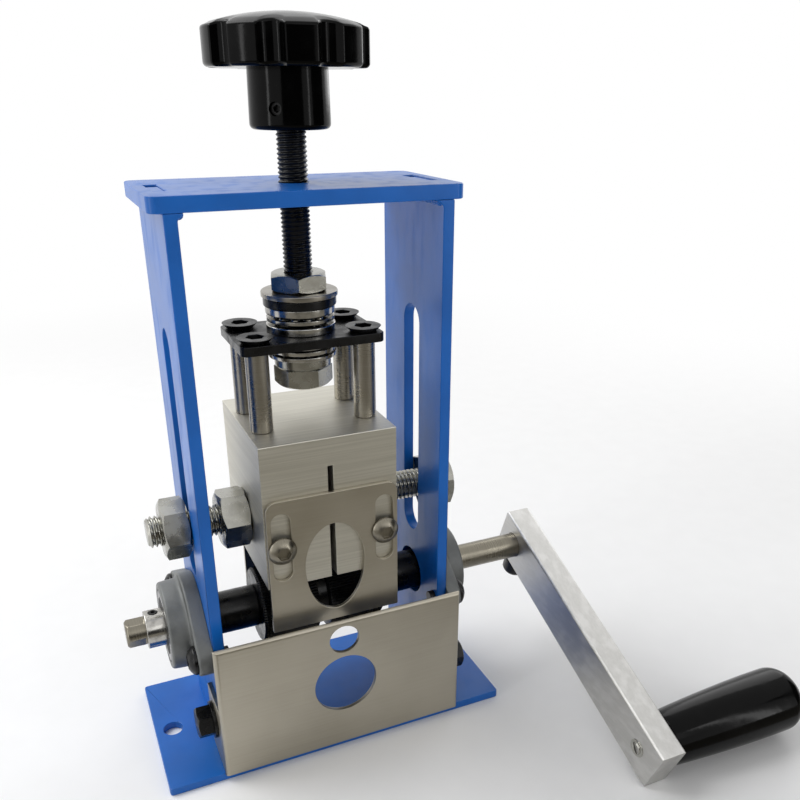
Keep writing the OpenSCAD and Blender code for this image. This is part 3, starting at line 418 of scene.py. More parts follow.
def roundEdges(bm, width, steps, chosen=lambda edge: True):
    # Rounds the sharp edges that pass a test
    edges = [edge for edge in bm.edges if len(edge.link_faces) == 2
             and edge.calc_face_angle(0) > math.radians(sharpAngle) and chosen(edge)]
    if edges:
        bmesh.ops.bevel(
            bm, geom=edges, offset=width * mm, offset_type="OFFSET", segments=steps, profile=0.5,
            affect="EDGES", clamp_overlap=False, loop_slide=True)


def dress(node, edge, steps=2, material=None, bends=()):
    # Copies a node and rounds its edges; bends are (width, steps, test on an edge) and come first
    bm = nodeMesh(node)
    for bend in bends:
        roundEdges(bm, *bend)
    roundEdges(bm, edge, steps)
    low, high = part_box(node)
    for vert in bm.verts:
        # no rounding may reach past the node's own box
        vert.co = [min(max(at, least), most) for at, least, most in zip(vert.co, low, high)]
    finishPiece(bm, node, material)


def dressAll(looks):
    for node, look in looks.items():
        dress(node, *look)


def placedAt(x, y, z):
    return Matrix.Translation((x, y, z))


def turned(degrees, axis):
    return Matrix.Rotation(math.radians(degrees), 4, axis)


def skin(bm, rings, closed=False):
    # Joins rings of points; a ring of one point closes the end
    made = [[bm.verts.new(p) for p in ring] for ring in rings]
    pairs = list(zip(made, made[1:]))
    if closed:
        pairs.append((made[-1], made[0]))
    for a, b in pairs:
        n = max(len(a), len(b))
        for i in range(n):
            j = (i + 1) % n
            if len(a) == 1:
                bm.faces.new((a[0], b[j], b[i]))
            elif len(b) == 1:
                bm.faces.new((a[i], a[j], b[0]))
            else:
                bm.faces.new((a[i], a[j], b[j], b[i]))


def addPart(bm, rings, matrix=Matrix(), closed=False):
    part = bmesh.new()
    skin(part, rings, closed)
    part.transform(matrix @ Matrix.Scale(mm, 4))
    bmesh.ops.recalc_face_normals(part, faces=part.faces)
    pour(bm, asMesh("part", part))


def ringPiece(node, rings, matrix, sharp=sharpAngle):
    # The piece of a node that is one closed set of rings
    bm = bmesh.new()
    addPart(bm, rings, matrix, closed=True)
    finishPiece(bm, node, sharp=sharp)


def quarter(steps, start=0):
    # The angles of a quarter turn
    return [math.radians(start + 90 * k / steps) for k in range(steps + 1)]


def circle(count):
    return [math.tau * i / count for i in range(count)]


def ringOf(angles, radii, heights):
    # A ring of points round Z; one number may stand for all the radii or all the heights
    if not isinstance(radii, list):
        radii = [radii] * len(angles)
    if not isinstance(heights, list):
        heights = [heights] * len(angles)
    return [
        Vector((r * math.cos(a), r * math.sin(a), z)) for a, r, z in zip(angles, radii, heights)]


def latheRings(path, count):
    # Rings of a turned shape from its (radius, height) outline
    return [ringOf(circle(count), r, z) if r > 0 else [Vector((0, 0, z))] for r, z in path]


def softPath(corners, steps=4):
    # Corners are (radius, height, rounding); roundings become short arcs
    path = []
    for i, (r, z, rounding) in enumerate(corners):
        here = Vector((r, z))
        if not rounding or i in (0, len(corners) - 1):
            path.append((r, z))
            continue
        before = (Vector(corners[i - 1][:2]) - here).normalized()
        after = (Vector(corners[i + 1][:2]) - here).normalized()
        half = before.angle(after) / 2
        reach = rounding / math.tan(half)
        centre = here + (before + after).normalized() * rounding / math.sin(half)
        start = here + before * reach - centre
        end = here + after * reach - centre
        for k in range(steps + 1):
            lean = start.lerp(end, k / steps).normalized() * rounding
            path.append(tuple(centre + lean))
    return path


def hexRings(flats, height, bore=0, chamferLow=True, chamferHigh=True, faceShare=0.95):
    # Rings of a hexagon that stands on 0, with its corners turned down at the chamfered ends
    angles = circle(48)
    mouth = 0.4
    reach = [flats / 2 / math.cos(a % (math.tau / 6) - math.tau / 12) for a in angles]
    face = flats / 2 * faceShare
    sink = [(r - face) * math.tan(math.radians(30)) for r in reach]
    ends = []
    for z, inward, chamfer in ((0, 1, chamferLow), (height, -1, chamferHigh)):
        ends.append([
            ringOf(angles, face if chamfer else [r * 0.985 for r in reach], z),
            ringOf(angles, reach, [z + inward * (s if chamfer else 0.02 * face) for s in sink])])
        if bore:
            ends[-1][:0] = [
                ringOf(angles, bore / 2, z + inward * mouth), ringOf(angles, bore / 2 + mouth, z)]
        else:
            ends[-1].insert(0, [Vector((0, 0, z))])
    return ends[0] + ends[1][::-1]


# Geometry Nodes: threads, rings of balls, rows of posts and weld ripples

def newTree(name, sockets):
    # Every tree has a Material input besides these
    tree = bpy.data.node_groups.new(name, "GeometryNodeTree")
    tree.interface.new_socket(name="Geometry", in_out="OUTPUT", socket_type="NodeSocketGeometry")
    for label, kind in {**sockets, "Material": "Material"}.items():
        tree.interface.new_socket(name=label, in_out="INPUT", socket_type="NodeSocket" + kind)
    graph = Graph(tree)
    return graph, graph.every("NodeGroupInput")


def endTree(graph, geometry, given):
    # Every tree ends in real geometry with its material, at its place if it has one
    moves = {"Translation": "Place", "Rotation": "Turn"}
    placed = graph.add("GeometryNodeTransform", {
        "Geometry": geometry, **{to: given[by] for to, by in moves.items() if by in given}})
    real = graph.add("GeometryNodeRealizeInstances", {0: placed})
    painted = graph.add(
        "GeometryNodeSetMaterial", {"Geometry": real, "Material": given["Material"]})
    graph.add("NodeGroupOutput", {0: painted})
    return graph.tree


def grow(bm, tree, values):
    # Adds what a tree makes of these inputs to a shape, and nothing to the scene
    holder = addObject("holder", bpy.data.meshes.new("holder"))
    modifier = holder.modifiers.new("grow", "NODES")
    modifier.node_group = tree
    for item in tree.interface.items_tree:
        if item.in_out == "INPUT":
            modifier[item.identifier] = values[item.name]
    mesh = finalMesh(holder)
    bpy.data.objects.remove(holder)
    pour(bm, mesh)


def threadTree():
    # A closed rod whose radius follows a screw thread
    graph, given = newTree("screwThread", {
        "Radius": "Float", "Depth": "Float", "Pitch": "Float", "Length": "Float",
        "Chamfer": "Float", "Sides": "Int", "Rows": "Int", "Turn": "Rotation",
        "Place": "Vector"})
    rod = graph.add("GeometryNodeMeshCylinder", {
        "Vertices": given["Sides"], "Side Segments": given["Rows"],
        "Radius": given["Radius"], "Depth": given["Length"]}, fill_type="NGON")
    at = graph.add("GeometryNodeInputPosition")
    x, y, z = graph.axes(at)
    climb = z / given["Pitch"] - graph.maths("ARCTAN2", y, x) / math.tau
    wave = graph.maths("ABSOLUTE", graph.maths("FRACT", climb + 100) * 2 - 1)
    flank = graph.step(wave, 0.1, 0.86)
    endGap = given["Length"] / 2 - graph.maths("ABSOLUTE", z)
    taper = graph.maths("MAXIMUM", given["Chamfer"] - endGap, 0.0)
    radius = graph.maths(
        "MINIMUM", given["Radius"] - flank * given["Depth"], given["Radius"] - taper)
    share = radius / given["Radius"]
    scale = graph.add("ShaderNodeCombineXYZ", {0: share, 1: share, 2: 1.0})
    moved = graph.add("ShaderNodeVectorMath", {0: at, 1: scale}, operation="MULTIPLY")
    cut = graph.add("GeometryNodeSetPosition", {"Geometry": rod, "Position": moved})
    return endTree(graph, cut, given)


def ballTree():
    # Balls on a circle round the tree's Z axis
    graph, given = newTree("ballRing", {
        "Count": "Int", "Track": "Float", "Ball": "Float", "Turn": "Rotation",
        "Place": "Vector"})
    ring = graph.add(
        "GeometryNodeMeshCircle", {"Vertices": given["Count"], "Radius": given["Track"]})
    ball = graph.add(
        "GeometryNodeMeshIcoSphere", {"Radius": given["Ball"], "Subdivisions": 3})
    balls = graph.add("GeometryNodeInstanceOnPoints", {"Points": ring, "Instance": ball})
    return endTree(graph, balls, given)


def gridTree():
    # Copies of one object at the corners of a rectangle
    graph, given = newTree("cornerCopies", {
        "Copy": "Object", "Spacing X": "Float", "Spacing Y": "Float", "Place": "Vector"})
    corners = graph.add("GeometryNodeMeshGrid", {
        "Size X": given["Spacing X"], "Size Y": given["Spacing Y"],
        "Vertices X": 2, "Vertices Y": 2})
    shape = graph.add("GeometryNodeObjectInfo", {"Object": given["Copy"]}, "Geometry")
    copies = graph.add(
        "GeometryNodeInstanceOnPoints", {"Points": corners, "Instance": shape})
    return endTree(graph, copies, given)


def weldTree():
    # Overlapping ripples along a corner, each a little different
    graph, given = newTree("weldRipples", {
        "Start": "Vector", "End": "Vector", "Step": "Float", "Ripple": "Float", "Seed": "Int"})
    line = graph.add(
        "GeometryNodeCurvePrimitiveLine", {"Start": given["Start"], "End": given["End"]})
    points = graph.add(
        "GeometryNodeResampleCurve", {"Curve": line, "Length": given["Step"]}, mode="LENGTH")
    drop = graph.add(
        "GeometryNodeMeshIcoSphere", {"Radius": given["Ripple"], "Subdivisions": 2})
    size = graph.add(
        "FunctionNodeRandomValue", {2: 0.9, 3: 1.08, "Seed": given["Seed"]}, 1, data_type="FLOAT")
    scale = graph.add("ShaderNodeCombineXYZ", {0: size, 1: 0.62, 2: size})
    ripples = graph.add("GeometryNodeInstanceOnPoints", {
        "Points": points, "Instance": drop, "Scale": scale})
    return endTree(graph, ripples, given)


threads = threadTree()
ballRing = ballTree()
cornerCopies = gridTree()
weldRipples = weldTree()
print("trees: 4")

layAlongX = (0, math.radians(90), 0)
rowsPerTurn = 8          # rows of points in one turn of a thread


def addThread(bm, look, length, place, turn=(0, 0, 0)):
    # The thread's middle goes to place, in metres; its depth is a share of the pitch
    pitch = look["pitch"] * mm
    grow(bm, threads, {
        "Radius": look["radius"] * mm, "Depth": pitch * look["depth"], "Pitch": pitch,
        "Length": length, "Chamfer": look["chamfer"] * mm, "Sides": look["sides"],
        "Rows": round(length / pitch * rowsPerTurn), "Turn": turn, "Place": place,
        "Material": finishes["black_oxide"]})


def addBalls(bm, look, ball, place, turn=(0, 0, 0)):
    grow(bm, ballRing, {
        "Count": look["count"], "Track": look["track"] * mm, "Ball": ball * mm, "Turn": turn,
        "Place": place, "Material": finishes["polished_steel"]})


def cutAway(bm, tool):
    # What is left of a shape when a tool's shape is taken away; both are used up
    body = addObject("cutBody", asMesh("cutBody", bm))
    cutter = addObject("cutTool", asMesh("cutTool", tool))
    cut = body.modifiers.new("cut", "BOOLEAN")
    cut.object = cutter
    cut.operation = "DIFFERENCE"
    cut.solver = "EXACT"
    left = bmesh.new()
    pour(left, finalMesh(body))
    for thing in (body, cutter):
        bpy.data.objects.remove(thing)
    return left


# Frame: plates with softened edges under the paint, and the welds

plateLook = {"edge": 0.5, "wall": 5.0, "ripple": 1.75, "rippleStep": 1.35, "weldInset": 0.75,
             "weldEnd": 2.0, "firstSeed": 3}

for plate in ("base_plate", "side_plate_left", "side_plate_right", "top_plate"):
    dress(plate, plateLook["edge"])


def makeWelds(look):
    # A bead at the foot and the head of each side plate, on its inner side
    bm = bmesh.new()
    inset = look["weldInset"] * mm
    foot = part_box("base_plate")[1].z + inset
    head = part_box("top_plate")[0].z - inset
    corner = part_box("side_plate_right")[1]
    depth = corner.y - look["weldEnd"] * mm
    innerX = corner.x - look["wall"] * mm
    seed = look["firstSeed"]
    for side in (-1, 1):
        x = side * (innerX - inset)
        for z in (foot, head):
            grow(bm, weldRipples, {
                "Start": (x, -depth, z), "End": (x, depth, z), "Step": look["rippleStep"] * mm,
                "Ripple": look["ripple"] * mm, "Seed": seed, "Material": finishes["frame_paint"]})
            seed += 1
    welds = smoothPiece("weldBeads", bm, finishes["frame_paint"])
    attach(welds, "frame")


makeWelds(plateLook)
print("frame plates and welds")


# Front guard: one sheet with its two bends

guardLook = {"edge": 0.25, "sheet": 2.0, "outerBend": 1.9, "innerBend": 0.9, "washerEdge": 0.25}


def upright(x, y):
    # A test for upright edges at a place, on either side
    return lambda edge: all(
        abs(abs(v.co.x) - x) < slack and abs(v.co.y - y) < slack for v in edge.verts)


def makeGuard(look):
    low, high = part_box("front_guard")
    sheet = look["sheet"] * mm
    dress("front_guard", look["edge"], bends=(
        (look["outerBend"], 6, upright(high.x, low.y)),
        (look["innerBend"], 4, upright(high.x - sheet, low.y + sheet))))


makeGuard(guardLook)
dress("guard_washers", guardLook["washerEdge"])

guardBoltLook = {"flats": 13, "headHeight": 6.8, "headTurn": 17, "faceShare": 0.93, "inner": 50.0,
                 "radius": 3.98, "pitch": 1.25, "depth": 0.55, "chamfer": 0.7, "sides": 32}


def makeGuardBolts(look):
    bm = bmesh.new()
    _, y, z = middle("guard_bolts")
    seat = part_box("guard_bolts")[1].x - look["headHeight"] * mm
    inner = look["inner"] * mm
    length = seat - inner + 1 * mm        # 1 mm of it is inside the head
    head = hexRings(look["flats"], look["headHeight"], 0, False, True, look["faceShare"])
    for side in (-1, 1):
        addPart(
            bm, head,
            placedAt(side * seat, y, z) @ turned(90 * side, "Y") @ turned(look["headTurn"], "Z"))
        addThread(bm, look, length, (side * (inner + length / 2), y, z), layAlongX)
    finishPiece(bm, "guard_bolts")


makeGuardBolts(guardBoltLook)
print("guard")


# Bearing housings: cast flanges with a rounded boss

housingLook = {
    "hub": 22.6, "ear": 7.5, "reach": 27.0, "flange": 7.0, "boss": 20.3, "bossLength": 16.0,
    "bore": 16.5, "edge": 1.2, "fillet": 2.2, "filletFoot": 0.55, "bossStep": 0.4, "mouth": 1.0,
    "count": 144}


def flangeReach(look, angle):
    # Distance from the axis to the flange's outline, whose ears lie along local Y
    hub, ear, reach = look["hub"], look["ear"], look["reach"]
    away = math.atan2(abs(math.cos(angle)), abs(math.sin(angle)))
    lean = math.acos((hub - ear) / reach)
    if away >= lean:
        return hub
    if away >= math.atan2(ear * math.sin(lean), reach + ear * math.cos(lean)):
        return hub / math.cos(away - lean)
    return reach * math.cos(away) + math.sqrt(max(ear ** 2 - (reach * math.sin(away)) ** 2, 0))


def makeHousing(node, look, turn):
    low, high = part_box(node)
    side = 1 if low.x > 0 else -1
    seat = min(abs(low.x), abs(high.x))
    angles = circle(look["count"])
    outline = [flangeReach(look, a) for a in angles]
    edge, fillet, top, bore = look["edge"], look["fillet"], look["flange"], look["bore"]
    boss, end = look["boss"], look["bossLength"]
    levels = [(bore, 0), ([r - 0.3 for r in outline], 0), (outline, 0.3)]
    levels += [([r - edge * (1 - math.cos(a)) for r in outline], top - edge + edge * math.sin(a))
               for a in quarter(4)]
    # a fillet leads from the flange's face up the boss
    levels += [(boss + look["bossStep"] + fillet * (1 - math.sin(a)) * look["filletFoot"],
                top + fillet * (1 - math.cos(a))) for a in quarter(5)]
    levels += [(boss - edge * (1 - math.cos(a)), end - edge + edge * math.sin(a))
               for a in quarter(4)]
    levels += [(bore + look["mouth"] * 0.6, end), (bore, end - look["mouth"])]
    # local X of the rings points up, so the ears lie along Y
    ringPiece(
        node, [ringOf(angles, radii, z) for radii, z in levels],
        Matrix.Scale(side, 4, (1, 0, 0)) @ placedAt(seat, 0, shaftZ)
        @ turned(turn, "X") @ turned(90, "Y"), 50)


makeHousing("bearing_housing_right", housingLook, 2)
makeHousing("bearing_housing_left", housingLook, 8)

# Pieces that keep their node's shape, with the width and steps of their rounded edges
dressAll({
    # the outer rings take the darker steel, which is painted shade
    "flange_screws": (0.3, 3), "bearing_outer_rings": (0.35, 3, ringSteel),
    "bearing_inner_rings": (0.5, 3), "bearing_seals": (0.15,), "ring_set_screw": (0.12,)})

ballLook = {"count": 9, "ball": 2.65, "track": 11.0}


def makeBearingBalls(look):
    bm = bmesh.new()
    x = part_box("bearing_balls")[1].x - look["ball"] * mm
    for side in (-1, 1):
        addBalls(bm, look, look["ball"], (side * x, 0, shaftZ), layAlongX)
    finishPiece(bm, "bearing_balls")


makeBearingBalls(ballLook)
print("bearings")


# Drive: shaft, knurled roller, sleeves, crank and handle

dressAll({"drive_shaft": (0.35, 3), "sleeve_left": (0.6, 3), "sleeve_right": (0.6, 3)})

rollerLook = {"radius": 18.0, "half": 30.0, "groove": 2.7, "grooveDepth": 3.3, "bore": 6.52,
              "teeth": 84, "toothDepth": 0.55, "samples": 6, "chamfer": 0.9}


def makeRoller(look):
    samples = look["samples"]
    angles = circle(look["teeth"] * samples)

    def ring(r, x, knurl):
        points = []
        for i, a in enumerate(angles):
            dip = abs((i % samples) / samples * 2 - 1) * look["toothDepth"] * knurl
            points.append(Vector((x, (r - dip) * math.cos(a), (r - dip) * math.sin(a))))
        return points

    outer, half, groove, chamfer = look["radius"], look["half"], look["groove"], look["chamfer"]
    floor = outer - look["grooveDepth"]
    # (radius, distance from the middle, share of the knurl's depth)
    side = [
        (look["bore"], half, 0), (outer - chamfer, half, 0), (outer - 0.12, half - chamfer, 0.8),
        (outer, half - 1.6 * chamfer, 1), (outer, half / 2, 1), (outer, groove + 0.7, 1),
        (outer - 0.3, groove + 0.25, 0.4), (outer - 0.8, groove, 0), (floor + 0.5, groove, 0),
        (floor, groove - 0.5, 0)]
    profile = side + [(r, -x, knurl) for r, x, knurl in reversed(side)]
    ringPiece("feed_roller", [ring(*level) for level in profile], placedAt(0, 0, shaftZ), 40)


makeRoller(rollerLook)

crankLook = {"edge": 0.4, "screwMouth": 0.9, "screwRadius": 4.0,
             "capSink": 22.9, "capRim": 6.4, "capEdge": 3.0, "capFineEdge": 0.2}


def crankPlace(along, x=0.0):
    # A place in the bar's own frame: along it from the shaft, and across it at x
    return Vector((x, 0, shaftZ)) + crankAlong * along


def makeCrank(look):
    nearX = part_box("crank_arm")[0].x
    screwAt = crankPlace(handleRadius)
    capAxis = crankPlace(0, middle("clamp_screw").x)

    def screwHole(edge):
        return all(
            abs(v.co.x - nearX) < slack
            and (Vector((0, v.co.y, v.co.z)) - screwAt).length < look["screwRadius"] * mm
            for v in edge.verts)

    def capRim(edge):
        # the outer rim at the clamp screw's lower end
        for v in edge.verts:
            off = v.co - capAxis
            sink = -off.dot(crankOut)
            radius = (off + crankOut * sink).length
            if sink < look["capSink"] * mm or radius < look["capRim"] * mm:
                return False
        return True

    dress("crank_arm", look["edge"], 3, bends=((look["screwMouth"], 3, screwHole),))
    dress("clamp_screw", look["capFineEdge"], bends=((look["capEdge"], 6, capRim),))


makeCrank(crankLook)

handleLook = {"near": 12.5, "far": 15.4, "end": 9.0, "mouth": 7.1, "recess": 7.3, "boltBore": 4.55,
              "shoulder": 1.0}


def makeHandle(look):
    low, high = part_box("handle_grip")
    axis = crankPlace(handleRadius)
    length = (high.x - low.x) / mm
    near, far, end, shoulder = (look[key] for key in ("near", "far", "end", "shoulder"))
    mouth, bore, floor = look["mouth"], look["boltBore"], length - look["recess"]
    full = length - end
    path = [(bore, 0), (near - shoulder, 0)]
    path += [(near - shoulder * (1 - math.sin(a)), shoulder * (1 - math.cos(a)))
             for a in quarter(3)[1:]]
    swellSteps = 24
    for t in (k / swellSteps for k in range(1, swellSteps)):
        path.append((near + (far - near) * math.sin(t * math.pi / 2) ** 0.9, 1 + (full - 1) * t))
    path += [(far - end + end * math.cos(a), full + end * math.sin(a)) for a in quarter(12)]
    # the round end dips to the mouth of the bolt's recess
    path[-1] = (mouth + 0.5, length)
    path += [(mouth + 0.15, length - 0.15), (mouth, length - 0.5), (mouth, floor), (bore, floor)]
    ringPiece(
        "handle_grip", latheRings(path, 96), placedAt(low.x, axis.y, axis.z) @ turned(90, "Y"), 40)


makeHandle(handleLook)

handleBoltLook = {"washer": 4.3, "washerBore": 2.0, "dome": 2.6, "domeHeight": 1.1, "slot": 0.9,
                  "slotDepth": 1.0, "slotTurn": 35.0, "edge": 0.25}


def makeHandleBolt(look):
    axis = crankPlace(handleRadius)
    washer, bore, height = look["washer"], look["washerBore"], look["domeHeight"]
    foot = look["dome"] + 0.4
    washerPath = softPath([
        (bore, 0.35, 0), (washer, 0.35, 0.25), (washer, -0.5, 0.2), (bore, -0.5, 0)])
    domePath = softPath([
        (0, height, 0), (look["dome"], 1.0, 0.5), (foot, 0.0, 0.2), (foot, -1, 0), (0, -1, 0)])
    bolt = bmesh.new()
    addPart(bolt, latheRings(domePath, 48))
    slot = bmesh.new()
    bmesh.ops.create_cube(slot, size=1)
    slot.transform(
        turned(look["slotTurn"], "Z") @ placedAt(0, 0, height * mm) @ Matrix.Diagonal((
            washer * 2 * mm, look["slot"] * mm, look["slotDepth"] * 2 * mm, 1)))
    bolt = cutAway(bolt, slot)
    addPart(bolt, latheRings(washerPath, 48), closed=True)
    bolt.transform(placedAt(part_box("crank_arm")[0].x, axis.y, axis.z) @ turned(-90, "Y"))
    bm = nodeMesh("handle_bolt")
    roundEdges(bm, look["edge"], 2)
    pour(bm, asMesh("boltEnd", bolt))
    finishPiece(bm, "handle_bolt")


makeHandleBolt(handleBoltLook)
print("drive")


# Carriage: block, cross bolt, nuts, guides, posts

dressAll({
    "blade_block": (0.35,), "guide_plate": (0.3, 3), "rear_guide_plate": (0.3, 3),
    "guide_screws": (0.2, 3), "rear_guide_screws": (0.2,), "retainer_plate": (0.35, 3),
    "countersunk_screws": (0.3, 3)})

nutLook = {"flats": 24.0, "bore": 14.04, "turns": {"inner_nut": 23.0, "outer_nut": 38.0}}
crossBoltLook = {"flats": 24.0, "headTurn": 12.0, "headHeight": 13.0,
                 "radius": 7.0, "pitch": 2.0, "depth": 0.55, "chamfer": 1.4, "sides": 48}


def lieAlongX(turn, x):
    # A hexagon whose first corner points along Z at no turn, as the node's does
    return placedAt(x, 0, middle("cross_bolt").z) @ turned(turn, "X") @ turned(90, "Y")


def makeCrossNut(node, look):
    low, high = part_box(node)
    rings = hexRings(look["flats"], (high.x - low.x) / mm, look["bore"])
    ringPiece(node, rings, lieAlongX(look["turns"][node], low.x))


def makeCrossBolt(look):
    low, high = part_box("cross_bolt")
    seat = high.x - look["headHeight"] * mm
    length = seat - low.x + 1 * mm        # 1 mm of it is inside the head
    bm = bmesh.new()
    addPart(
        bm, hexRings(look["flats"], look["headHeight"], chamferLow=False),
        lieAlongX(look["headTurn"], seat))
    addThread(bm, look, length, (low.x + length / 2, 0, middle("cross_bolt").z), layAlongX)
    finishPiece(bm, "cross_bolt")


makeCrossNut("inner_nut", nutLook)
makeCrossNut("outer_nut", nutLook)
makeCrossBolt(crossBoltLook)

postLook = {"radius": 4.9, "bore": 4.05, "edge": 0.5, "spacing": (47.0, 26.0)}


def makePosts(look):
    low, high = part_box("posts")
    radius, bore, edge, height = look["radius"], look["bore"], look["edge"], (high.z - low.z) / mm
    path = softPath([(bore, 0, 0), (radius, 0, edge), (radius, height, edge), (bore, height, 0)], 3)
    one = bmesh.new()
    addPart(one, latheRings(path, 64), closed=True)
    shape = addObject("postShape", asMesh("postShape", one))
    spacingX, spacingY = look["spacing"]
    bm = bmesh.new()
    grow(bm, cornerCopies, {
        "Copy": shape, "Spacing X": spacingX * mm, "Spacing Y": spacingY * mm,
        "Place": (0, 0, low.z), "Material": uprightSteel})
    bpy.data.objects.remove(shape)
    finishPiece(bm, "posts", uprightSteel)


makePosts(postLook)
print("carriage")


# Pressure head and screw

dressAll({
    "thrust_races_fixed": (0.45, 3), "thrust_races_turning": (0.45, 3), "thrust_cages": (0.2,),
    "spacer_ring": (0.5, 3), "large_washer": (0.45, 3, uprightSteel)})

# Under the retainer plate the balls are smaller; each ring of balls is (ball, height)
thrustLook = {"count": 12, "track": 10.4, "rings": ((1.4, 188.5), (2.0, 201.5))}


def makeThrustBalls(look):
    bm = bmesh.new()
    for ball, z in look["rings"]:
        addBalls(bm, look, ball, (0, 0, z * mm))
    finishPiece(bm, "thrust_balls")


makeThrustBalls(thrustLook)

screwLook = {
    "headFlats": 22.0, "headHeight": 8.3, "collar": 12.2, "collarHeight": 4.7, "turn": -77.0,
    "sink": 0.02, "radius": 6.0, "pitch": 1.75, "depth": 0.34, "chamfer": 1.0, "sides": 48}


def makePressureScrew(look):
    # The bright head and its collar, which sinks into it a little, are a piece of their own,
    # because the rod is black
    low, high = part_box("pressure_screw")
    collar, collarHeight = look["collar"], look["collarHeight"]
    headTop = low.z + look["headHeight"] * mm
    bm = bmesh.new()
    addPart(
        bm, hexRings(look["headFlats"], look["headHeight"], chamferHigh=False),
        placedAt(0, 0, low.z) @ turned(look["turn"], "Z"))
    path = softPath([
        (0, 0, 0), (collar - 0.6, 0, 0.3), (collar, 0.8, 0.4), (collar, collarHeight, 0.4),
        (0, collarHeight, 0)], 3)
    addPart(bm, latheRings(path, 96), placedAt(0, 0, headTop - look["sink"] * mm))
    finishPiece(bm, "pressure_screw", name="screwHead", slot="zinc_steel")
    bm = bmesh.new()
    length = high.z - headTop
    addThread(bm, look, length, (0, 0, high.z - length / 2))
    finishPiece(bm, "pressure_screw")


makePressureScrew(screwLook)

lockLook = {"flats": 22.5, "bore": 12.04, "turn": -107.0}


def makeLockNut(look):
    low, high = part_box("lock_nut")
    rings = hexRings(look["flats"], (high.z - low.z) / mm, look["bore"])
    ringPiece("lock_nut", rings, placedAt(0, 0, low.z) @ turned(look["turn"], "Z"))


makeLockNut(lockLook)

knobLook = {
    "lobes": 9, "radius": 31.5, "scallop": 5.0, "scallopDepth": 4.0, "rim": 14.0, "dome": 5.0,
    "hubLow": 15.8, "hubHigh": 15.5, "hubHeight": 21.5, "hubEdge": 2.0, "edge": 1.3,
    "lowEdge": 1.8, "bore": 9.0, "boreDepth": 21.5, "boreMouth": 0.4, "turn": -96.0,
    "perLobe": 36, "softness": 1.0, "grubTurn": -127.0, "grubHeight": 7.5, "grubBore": 2.5,
    "grubFrom": 8, "grubTo": 22}


def lobeReach(look, angle):
    # The smaller of the rim's circle and the nearest scallop's, rounded where they meet
    radius, scallop, softness = look["radius"], look["scallop"], look["softness"]
    period = math.tau / look["lobes"]
    off = (angle % period) - period / 2
    centre = radius + scallop - look["scallopDepth"]
    across = centre * math.sin(off)
    if abs(across) >= scallop:
        # past the scallop's edge the cut fades out smoothly
        cut = radius + (abs(across) - scallop) * 4
    else:
        cut = centre * math.cos(off) - math.sqrt(scallop ** 2 - across ** 2)
    share = min(max(0.5 + 0.5 * (cut - radius) / softness, 0), 1)
    return cut * (1 - share) + radius * share - softness * share * (1 - share)


def makeKnob(look):
    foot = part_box("star_knob")[0].z
    angles = circle(look["lobes"] * look["perLobe"])
    reach = [lobeReach(look, a) for a in angles]
    crown = (look["radius"] ** 2 + look["dome"] ** 2) / (2 * look["dome"])
    base, bore, mouth, boreDepth = (
        look[key] for key in ("hubHeight", "bore", "boreMouth", "boreDepth"))
    edge, lowEdge, hubEdge = look["edge"], look["lowEdge"], look["hubEdge"]
    hubLow, hubHigh = look["hubLow"], look["hubHigh"]

    def domeZ(r):
        return base + look["rim"] + look["dome"] - crown + math.sqrt(crown ** 2 - r ** 2)

    # the bore, the hub and its rounded foot
    levels = [(bore, boreDepth), (bore, mouth), (bore + mouth, 0)]
    levels += [(hubLow - hubEdge + hubEdge * math.cos(a), hubEdge + hubEdge * math.sin(a))
               for a in quarter(6, -90)]
    levels += [(hubLow + (hubHigh - hubLow) * t, hubEdge + 2 + (base - hubEdge - 2) * t)
               for t in (k / 5 for k in range(6))]
    # the rim's underside, its lower and upper edge, and the dome
    levels += [([hubHigh + (r - lowEdge - hubHigh) * share for r in reach], base)
               for share in (0.05, 0.35, 0.7)]
    levels += [([r - lowEdge + lowEdge * math.cos(a) for r in reach],
                base + lowEdge + lowEdge * math.sin(a)) for a in quarter(4, -90)]
    levels += [([r - edge + edge * math.cos(a) for r in reach],
                [domeZ(r) - edge + edge * math.sin(a) for r in reach]) for a in quarter(4)]
    levels += [([(r - edge) * share for r in reach], [domeZ((r - edge) * share) for r in reach])
               for share in (0.93, 0.84, 0.7, 0.55, 0.4, 0.25, 0.1)]
    rings = [ringOf(angles, radii, heights) for radii, heights in levels]
    rings = [[Vector((0, 0, boreDepth))]] + rings + [[Vector((0, 0, domeZ(0)))]]
    bm = bmesh.new()
    addPart(bm, rings, placedAt(0, 0, foot) @ turned(look["turn"], "Z"))
    # the grub screw's hole goes in from the side
    cutter = bmesh.new()
    grubBore, start, end = look["grubBore"], look["grubFrom"], look["grubTo"]
    addPart(
        cutter, latheRings([(0, start), (grubBore, start), (grubBore, end), (0, end)], 48),
        placedAt(0, 0, foot + look["grubHeight"] * mm) @ turned(look["grubTurn"], "Z")
        @ turned(90, "Y"))
    finishPiece(cutAway(bm, cutter), "star_knob", sharp=38)


makeKnob(knobLook)
dressAll({"knob_insert": (0.3,), "knob_grub_screw": (0.2,)})
frame["nodes"]["blade_disc"].data.materials.clear()
frame["nodes"]["blade_disc"].data.materials.append(finishes["polished_steel"])
print("pressure screw and knob")


# Studio: pale floor, soft lamps, white surroundings and cards that only reflections see

